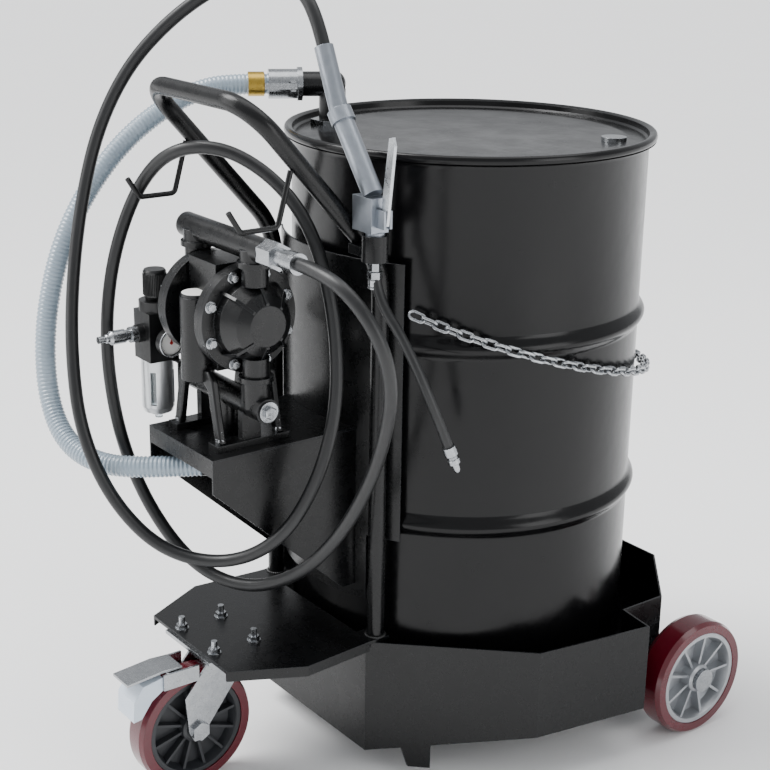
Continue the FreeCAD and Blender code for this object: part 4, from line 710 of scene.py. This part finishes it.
# ---------------------------------------------------------------- sub-assemblies
@dataclass
class Studio:
    """Pale floor, soft light and the camera."""

    place: tuple[float, float, float] = (1.919, -1.610, 1.397)
    ahead: tuple[float, float, float] = (-0.7573, 0.5711, -0.3166)
    roll: float = 0.0157
    lens: float = 72.63
    sensor: float = 36.0
    sight: float = 200.0
    floor_half: float = 60.0
    air: tuple[float, float, float, float] = (0.95, 0.97, 1, 1)
    air_strength: float = 0.75
    aim: tuple[float, float, float] = (0, -0.1, 0.6)
    panel_shape: float = 1.4

    def build(self) -> None:
        """Make the floor, the lights, the world and the camera."""
        half = self.floor_half
        corners = [Vector((x * half, y * half, 0)) for x, y in ((-1, -1), (1, -1), (1, 1), (-1, 1))]
        mesh_object("studio_floor", (corners, [[0, 1, 2, 3]]), "floor")
        world = bpy.data.worlds.new("studio_air")
        world.use_nodes = True
        inputs = world.node_tree.nodes["Background"].inputs
        inputs["Color"].default_value = self.air
        inputs["Strength"].default_value = self.air_strength
        bpy.context.scene.world = world
        self.light("key_sun", "SUN", (-2.5, -2.0, 5.0), 4.2, angle=math.radians(35))
        self.light("left_panel", "AREA", (-1.6, -3.2, 2.2), 60, size=2.2)
        self.light("right_panel", "AREA", (3.6, 0.8, 1.6), 45, size=1.8)
        self.light("top_panel", "AREA", (0.2, 0.4, 3.4), 40, size=2.0)
        self.camera()

    def light(self, name: str, kind: str, place: tuple, power: float, size: float = 1.0,
              angle: float = 0.0) -> None:
        """Add one light, aimed at the middle of the rig.

        Args:
            name: the light's name.
            kind: SUN or AREA.
            place: where it stands.
            power: its strength.
            size: side of an area light.
            angle: spread of a sun.
        """
        data = bpy.data.lights.new(name, kind)
        data.energy = power
        if kind == "AREA":
            data.shape = "RECTANGLE"
            data.size = size
            data.size_y = size * self.panel_shape
        else:
            data.angle = angle
        obj = bpy.data.objects.new(name, data)
        obj.location = place
        way = Vector(self.aim) - Vector(place)
        obj.rotation_euler = way.to_track_quat("-Z", "Y").to_euler()
        bpy.context.scene.collection.objects.link(obj)

    def camera(self) -> None:
        """Set the camera at its viewing place."""
        data = bpy.data.cameras.new("view")
        data.lens = self.lens
        data.sensor_width = self.sensor
        data.clip_end = self.sight
        ahead = Vector(self.ahead).normalized()
        right = ahead.cross(Vector(UP)).normalized()
        up = right.cross(ahead)
        cos, sin = math.cos(self.roll), math.sin(self.roll)
        across = right * cos + up * sin
        upward = up * cos - right * sin
        turn = Matrix((across, upward, -ahead)).transposed()
        obj = bpy.data.objects.new("view", data)
        obj.matrix_world = Matrix.Translation(self.place) @ turn.to_4x4()
        bpy.context.scene.collection.objects.link(obj)
        bpy.context.scene.camera = obj


@dataclass
class Hoses:
    """The ribbed suction hose and the black delivery hose."""

    suction_radius: float = 17 * MM
    delivery_radius: float = 10 * MM
    rib_pitch: float = 6.6 * MM
    rib_depth: float = 1.5 * MM
    rib_steps: int = 6
    suction_route: tuple = (
        (-235, -233, 1059), (-258, -275, 1059), (-277, -322, 1055), (-292, -380, 1033),
        (-305, -453, 984), (-314, -514, 917), (-316, -568, 832), (-312, -603, 733),
        (-298, -621, 640), (-266, -628, 566), (-212, -628, 526), (-150, -613, 511),
        (-88, -574, 512), (-26, -493, 520),
    )
    delivery_route: tuple = (
        (194, -460, 878), (260, -460, 878), (315, -445, 846), (343, -424, 790), (333, -401, 720),
        (296, -384, 640), (246, -373, 550), (186, -383, 449), (118, -409, 366), (36, -452, 322),
        (-55, -494, 337), (-125, -530, 416), (-168, -556, 525), (-188, -565, 643),
        (-190, -561, 747), (-180, -545, 846), (-166, -510, 937), (-107, -487, 995),
        (-42, -441, 1005), (12, -393, 970), (64, -364, 913), (108, -356, 835), (136, -355, 738),
        (152, -366, 633), (149, -398, 526), (119, -444, 432), (44, -494, 378), (-34, -562, 389),
        (-88, -616, 466), (-126, -645, 573), (-178, -630, 684), (-222, -600, 796),
        (-234, -573, 909), (-232, -542, 1014), (-214, -497, 1106), (-175, -441, 1178),
        (-121, -387, 1229), (-61, -353, 1250), (3, -337, 1236), (44.7, -332, 1202.2),
        (67, -332, 1153),
    )

    def build(self) -> None:
        """Make both hoses."""
        self.suction()
        self.delivery()

    def suction(self) -> None:
        """Make the clear hose with the ribs of its wire helix."""
        guide = spline_points("suction_guide", list(self.suction_route))
        path = spaced(centreline(guide), self.rib_pitch / self.rib_steps)
        radii = [self.suction_radius - self.rib_depth * 0.5
                 * (1 - math.cos(2 * math.pi * k / self.rib_steps)) for k in range(len(path))]
        hose = mesh_object("suction_hose_ribbed", tube(path, radii, 28), "clear_hose", 75)
        settle(hose, "cart", "clear_hose", "suction_hose")

    def delivery(self) -> None:
        """Make the smooth black hose that hangs in two loops."""
        hose = spline_points("delivery_hose_rubber", list(self.delivery_route))
        hose.data.bevel_depth = self.delivery_radius
        hose.data.bevel_resolution = 7
        hose.data.use_fill_caps = True
        hose.data.materials.append(PALETTE.get("black_hose"))
        settle(hose, "cart", "black_hose", "delivery_hose")


CHIME_FOOT = ((-3, 1), (-1, 0), (0, 3), (0, 9), (-2, 12))
BODY_FOOT = ((2, 15), (0, 20))
BODY_TOP = ((0, -22), (3, -16))
LID = ((0, 4), (-4, 1), (-14, 2), (-30, 2), (-38, 3.2), (-46, 2))


@dataclass
class Drum:
    """The rolled steel drum with its hoops, rolled rim and recessed head."""

    radius: float = 286.5 * MM
    foot: float = 130 * MM
    top: float = 1006 * MM
    hoop: float = 10 * MM
    hoop_half: float = 13 * MM
    hoops: tuple[float, float] = (130 * MM + 295 * MM, 130 * MM + 585 * MM)
    chime: float = 12.5 * MM
    chime_high: float = 14 * MM
    recess: float = 15 * MM
    lid_rise: float = 2 * MM
    hoop_steps: int = 12
    hoop_spread: float = 1.6
    rim_steps: int = 8
    rim_share: float = 0.75
    rim_sweep: float = 1.15

    def build(self) -> None:
        """Make the drum's outside and its head as one turned shell."""
        rim = self.radius + self.chime
        profile = from_mm(((-12, 6),), self.radius, self.foot)
        profile += from_mm(CHIME_FOOT, rim, self.foot)
        profile += from_mm(BODY_FOOT, self.radius, self.foot)
        for centre in self.hoops:
            for k in range(-self.hoop_steps, self.hoop_steps + 1):
                share = k / self.hoop_steps
                swell = 0.5 * (1 + math.cos(math.pi * share))
                profile.append((self.radius + self.hoop * swell,
                                centre + share * self.hoop_spread * self.hoop_half))
        profile += from_mm(BODY_TOP, self.radius, self.top)
        profile += from_mm(((-1.5, -14),), rim, self.top)
        roll = self.chime_high / 2
        reach = roll * self.rim_share
        for k in range(self.rim_steps + 1):
            angle = -QUARTER + math.pi * k / self.rim_steps * self.rim_sweep
            profile.append((rim - reach + reach * math.cos(angle),
                            self.top - roll + roll * math.sin(min(angle, QUARTER))))
        floor = self.top - self.recess
        inner = rim - self.chime_high
        profile += from_mm(((1, -3),), inner, self.top)
        profile += from_mm(LID, inner, floor)
        profile.append((0.0, floor + self.lid_rise))
        shell = mesh_object("drum_enamelled", lathe(profile, (0, 0, 0), sides=256),
                            "drum_black", 40)
        settle(shell, "cart", "drum_black", "drum_shell", "drum_head")


BOLT_FLANGE = ((0, 0), (9.2, 0), (9.4, 0.9), (8.2, 1.9), (0, 2.0))
BOLT_HEX = ((0, 1.2), (6.8, 1.2), (7.0, 6.4), (5.8, 7.4), (0, 7.4))
PLUG_FLANGE = ((0, 0), (15, 0), (15.6, 1), (15.6, 3), (0, 3.5))
PLUG_HEX = ((0, 3), (10, 3), (10.3, 9), (9, 10.5), (0, 10.5))
VALVE_LID = ((0, 0), (20, 0), (20.6, 0.4), (20, 1.0), (0, 1.2))
CAP_RIB = ((28, 50), (60, 0), (66, 0), (66, 5), (58.5, 31), (34, 50.5))
LEG_HALF = ((0, 104), (34, 104), (48, 92), (66, 8), (70, 0), (50, 0), (48, 10), (34, 74),
            (22, 84), (0, 84))


@dataclass
class PumpTrim:
    """Flanged bolts, cap ribs, arched legs, port plug and the pale lid of the pump."""

    y: float = -460 * MM
    z: float = 770 * MM
    bolt_circle: float = 70 * MM
    bolt_x: float = 64 * MM
    bolts_each: int = 8
    plug_x: float = 112 * MM
    plug_drop: float = 130 * MM
    bolt_spin: float = 0.37
    lid_inset: float = 12 * MM
    rib_thick: float = 5 * MM
    ribless: int = 2
    leg_foot: float = 586 * MM
    leg_reach: float = 50 * MM
    leg_thick: float = 11 * MM
    leg_round: float = 2.5 * MM

    def build(self) -> None:
        """Make the pump's small parts."""
        head = joined(lathe(from_mm(BOLT_FLANGE), (0, 0, 0), sides=24),
                      lathe(from_mm(BOLT_HEX), (0, 0, 0), sides=6))
        places = []
        for sign in (1, -1):
            for i in range(self.bolts_each):
                angle = math.pi * (2 * i + 1) / self.bolts_each
                spot = Vector((sign * self.bolt_x, self.y + self.bolt_circle * math.cos(angle),
                               self.z + self.bolt_circle * math.sin(angle)))
                spin = Matrix.Rotation(self.bolt_spin * i, 3, "Z")
                places.append((spot, facing((sign, 0, 0)) @ spin))
        bolts = repeat("cap_bolt_heads", head, places, "zinc_plate")
        settle(bolts, "cart", "zinc_plate", "pump_cap_bolts")
        self.ribs()
        self.legs()
        port = (self.plug_x, self.y, self.z - self.plug_drop)
        plug = joined(lathe(from_mm(PLUG_FLANGE), port, SIDEWAYS),
                      lathe(from_mm(PLUG_HEX), port, SIDEWAYS, 6))
        settle(mesh_object("manifold_plug", plug, "zinc_plate"), "cart", "zinc_plate")
        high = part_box("pump_air_valve")[1]
        lid = lathe(from_mm(VALVE_LID), (0, high[1] - self.lid_inset, high[2]), sides=64)
        settle(mesh_object("valve_lid_plate", lid, "dial_white"), "cart", "pump_black")

    def ribs(self) -> None:
        """Make the radial ribs of both chamber caps."""
        fin = slab(from_mm(CAP_RIB), self.rib_thick, (0, 0, 0), Matrix.Rotation(QUARTER, 3, "X"))
        places = []
        for sign in (1, -1):
            for i in range(self.bolts_each):
                angle = 2 * math.pi * i / self.bolts_each
                if i % 4 == self.ribless:
                    continue
                places.append((Vector((sign * self.bolt_x, self.y, self.z)),
                               facing((sign, 0, 0)) @ Matrix.Rotation(angle, 3, "Z")))
        settle(repeat("cap_ribs", fin, places, "pump_black"), "cart", "pump_black")

    def legs(self) -> None:
        """Make the arched cast legs at the front and the back of the pump."""
        outline = from_mm(LEG_HALF + tuple((-x, z) for x, z in LEG_HALF[-2:0:-1]))
        upright = Matrix.Rotation(QUARTER, 3, "X")
        arches = [slab(outline[::-1], self.leg_thick, (0, self.y + reach, self.leg_foot), upright)
                  for reach in (-self.leg_reach, self.leg_reach)]
        legs = mesh_object("pump_leg_arches", joined(*arches), "pump_black")
        round_edges(legs, self.leg_round)
        settle(legs, "cart", "pump_black")


KNOB_RIB = ((0, 0), (0.8, 0.4), (0.8, 33), (0, 34))
DIAL_FACE = ((0, -0.6), (19.2, -0.6), (19.2, 0.03), (0, 0.03))
TICK_BOX = ((-0.3, 0.3), (0, 3.0), (0, 0.03))
BOX_FACES = [[0, 1, 3, 2], [4, 6, 7, 5], [0, 4, 5, 1], [2, 3, 7, 6], [0, 2, 6, 4], [1, 5, 7, 3]]


@dataclass
class AirSet:
    """Knob ribs, dial, ticks and bezel of the air regulator."""

    x: float = -142 * MM
    y: float = -502 * MM
    dial_x: float = -96 * MM
    dial_z: float = 700 * MM
    ribs: int = 44
    rib_lift: float = 8 * MM
    ticks: int = 27
    sweep: float = 130
    tick_reach: float = 15 * MM
    tick_lift: float = 0.04 * MM
    bezel_radius: float = 20.6 * MM
    bezel_thick: float = 1.5 * MM
    bezel_lift: float = 4 * MM

    def build(self) -> None:
        """Make the regulator's small parts."""
        low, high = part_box("regulator_knob")
        radius = (high[0] - low[0]) / 2
        rib = lathe(from_mm(KNOB_RIB), (0, 0, 0), sides=6)
        places = []
        for k in range(self.ribs):
            angle = 2 * math.pi * k / self.ribs
            places.append((Vector((self.x + radius * math.cos(angle),
                                   self.y + radius * math.sin(angle),
                                   low[2] + self.rib_lift)),
                           Matrix.Rotation(angle, 3, "Z")))
        settle(repeat("knob_ribs", rib, places, "black_plastic"), "pressure_knob", "black_plastic")
        middle = (self.dial_x, self.y, self.dial_z)
        face = lathe(from_mm(DIAL_FACE), middle, SIDEWAYS, 64)
        settle(mesh_object("gauge_dial", face, "dial_white"), "cart", "black_plastic")
        bar = ([Vector((x * MM, y * MM, z * MM)) for x in TICK_BOX[0] for y in TICK_BOX[1]
                for z in TICK_BOX[2]], BOX_FACES)
        marks = []
        for k in range(self.ticks):
            angle = math.radians(-self.sweep + 2 * self.sweep * k / (self.ticks - 1))
            out = Vector((0, math.sin(angle), math.cos(angle)))
            front = Vector(SIDEWAYS)
            turn = Matrix((front.cross(out) * -1, out, front)).transposed()
            lifted = Vector((self.dial_x + self.tick_lift, self.y, self.dial_z))
            marks.append((lifted + out * self.tick_reach, turn))
        settle(repeat("dial_ticks", bar, marks, "black_plastic"), "cart", "black_plastic")
        bezel = ring(self.bezel_radius, self.bezel_thick,
                     (self.dial_x + self.bezel_lift, self.y, self.dial_z), SIDEWAYS)
        settle(mesh_object("gauge_bezel", bezel, "zinc_plate"), "cart", "black_plastic")


SPOUT_NUT = ((0, -26), (10.5, -26), (11.8, -24), (11.5, -15), (9.4, -14), (9.4, 0), (0, 0))
SPOUT_COLLAR = ((0, -40), (9.6, -40), (10, -38), (9.2, -36), (9.8, -34), (9.2, -31), (10, -27),
                (0, -26))
SPOUT_TIP = ((0, -26), (9.8, -26), (10, -12), (7.5, -10), (7.5, -6), (9.0, -5), (9.0, 2),
             (5.5, 4), (5.0, 13), (3.0, 17), (0, 17.5))


@dataclass
class Spout:
    """Flexible spout under the gun, with its nut, ferrules and tip."""

    route: tuple = ((196, -332, 866), (196, -332, 840),
                    (216, -330, 800), (246, -318, 762), (287, -295, 673), (301, -262, 579))
    radius: float = 8 * MM
    inside: float = 0.5 * MM
    step: float = 2.2 * MM

    def build(self) -> None:
        """Make the spout's rubber and its metal ends."""
        guide = spline_points("spout_guide", list(self.route))
        line = spaced(centreline(guide), self.step)
        rubber = mesh_object("spout_rubber", tube(line, [self.radius - self.inside] * len(line)),
                             "spout_black", 60)
        settle(rubber, "cart", "spout_black", "gun_spout")
        start, end = tuple(line[0]), tuple(line[-1])
        way = tuple((line[-1] - line[-4]).normalized())
        top = lathe(from_mm(SPOUT_NUT), start, UP, 6)
        collar = lathe(from_mm(SPOUT_COLLAR), start, UP, 32)
        tip = lathe(from_mm(SPOUT_TIP), end, way, 32)
        settle(mesh_object("spout_fittings", joined(top, collar, tip), "zinc_plate"), "cart",
               "zinc_plate")


HUB_FACE = ((-4, 2), (0, -2))
RIM_FACE = ((0, -2), (-1, -1), (-8, -1), (-10, -5))


@dataclass
class WheelCore:
    """Ribbed core of one wheel: hub, thin web, rim and radial ribs."""

    name: str
    body: str
    node: str
    slot: str
    centre: tuple[float, float, float]
    half: float
    ribs: int
    bore: float = 10.05 * MM
    hub: float = 24 * MM
    rim: float = 82 * MM
    rib_thick: float = 4.5 * MM
    rib_start: float = 0.2
    web: Pairs = ((-14, 4), (2, 4))

    def build(self) -> None:
        """Make the turned core and set its ribs round both faces."""
        half, rim, hub = self.half, self.rim, self.hub
        upper = from_mm(RIM_FACE, rim, half)
        upper += [(rim + self.web[0][0] * MM, self.web[0][1] * MM),
                  (hub + self.web[1][0] * MM, self.web[1][1] * MM)]
        upper += from_mm(HUB_FACE[::-1], hub, half)
        upper.append((self.bore, half + 2 * MM))
        profile = [(radius, -height) for radius, height in upper[::-1]] + upper
        core = mesh_object(f"{self.name}_core", lathe(profile, self.centre, (1, 0, 0), 96, True),
                           self.slot)
        settle(core, self.body, self.slot, self.node)
        fin = slab([(hub - 2 * MM, -half + 7 * MM), (rim - 9 * MM, -half + 4 * MM),
                    (rim - 9 * MM, half - 4 * MM), (hub - 2 * MM, half - 7 * MM)], self.rib_thick,
                   (0, 0, 0), Matrix.Rotation(QUARTER, 3, "X"))
        across = facing(SIDEWAYS)
        places = [(Vector(self.centre),
                   across @ Matrix.Rotation(2 * math.pi * k / self.ribs + self.rib_start, 3, "Z"))
                  for k in range(self.ribs)]
        settle(repeat(f"{self.name}_ribs", fin, places, self.slot), self.body, self.slot)


@dataclass
class Cart:
    """Weld beads of the trolley's posts."""

    post_x: float = 144 * MM
    post_y: float = -283 * MM
    plate_z: float = 240.5 * MM
    tube: float = 13.5 * MM
    lap: float = 1 * MM
    bead: float = 2.2 * MM
    swell: float = 0.8 * MM

    def build(self) -> None:
        """Make the beads where the posts go through the plate."""
        beads = [ring(self.tube + self.lap, self.bead,
                      (sign * self.post_x, self.post_y, self.plate_z),
                      ripple=26, depth=self.swell, sides=156) for sign in (1, -1)]
        settle(mesh_object("post_weld_beads", joined(*beads), "bead"), "cart", "cart_black")


def main() -> None:
    """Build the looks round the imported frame."""
    logging.basicConfig(level=logging.INFO, format="%(name)s: %(message)s")
    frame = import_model()
    Studio().build()
    PALETTE.dress_nodes(frame)
    cores = [
        WheelCore("caster", "caster_wheel", "caster_wheel_core", "grey_core",
                  (0, -541 * MM, 100 * MM), 22 * MM, 12),
        WheelCore("right_wheel", "wheel_right", "wheel_right_core", "silver_core",
                  (350 * MM, 232 * MM, 100 * MM), 25 * MM, 9),
        WheelCore("left_wheel", "wheel_left", "wheel_left_core", "silver_core",
                  (-350 * MM, 232 * MM, 100 * MM), 25 * MM, 9),
    ]
    for maker in (Hoses(), Drum(), PumpTrim(), AirSet(), Spout(), *cores, Cart()):
        maker.build()
        log.info("%s done", type(maker).__name__)


if __name__ == "__main__":
    main()
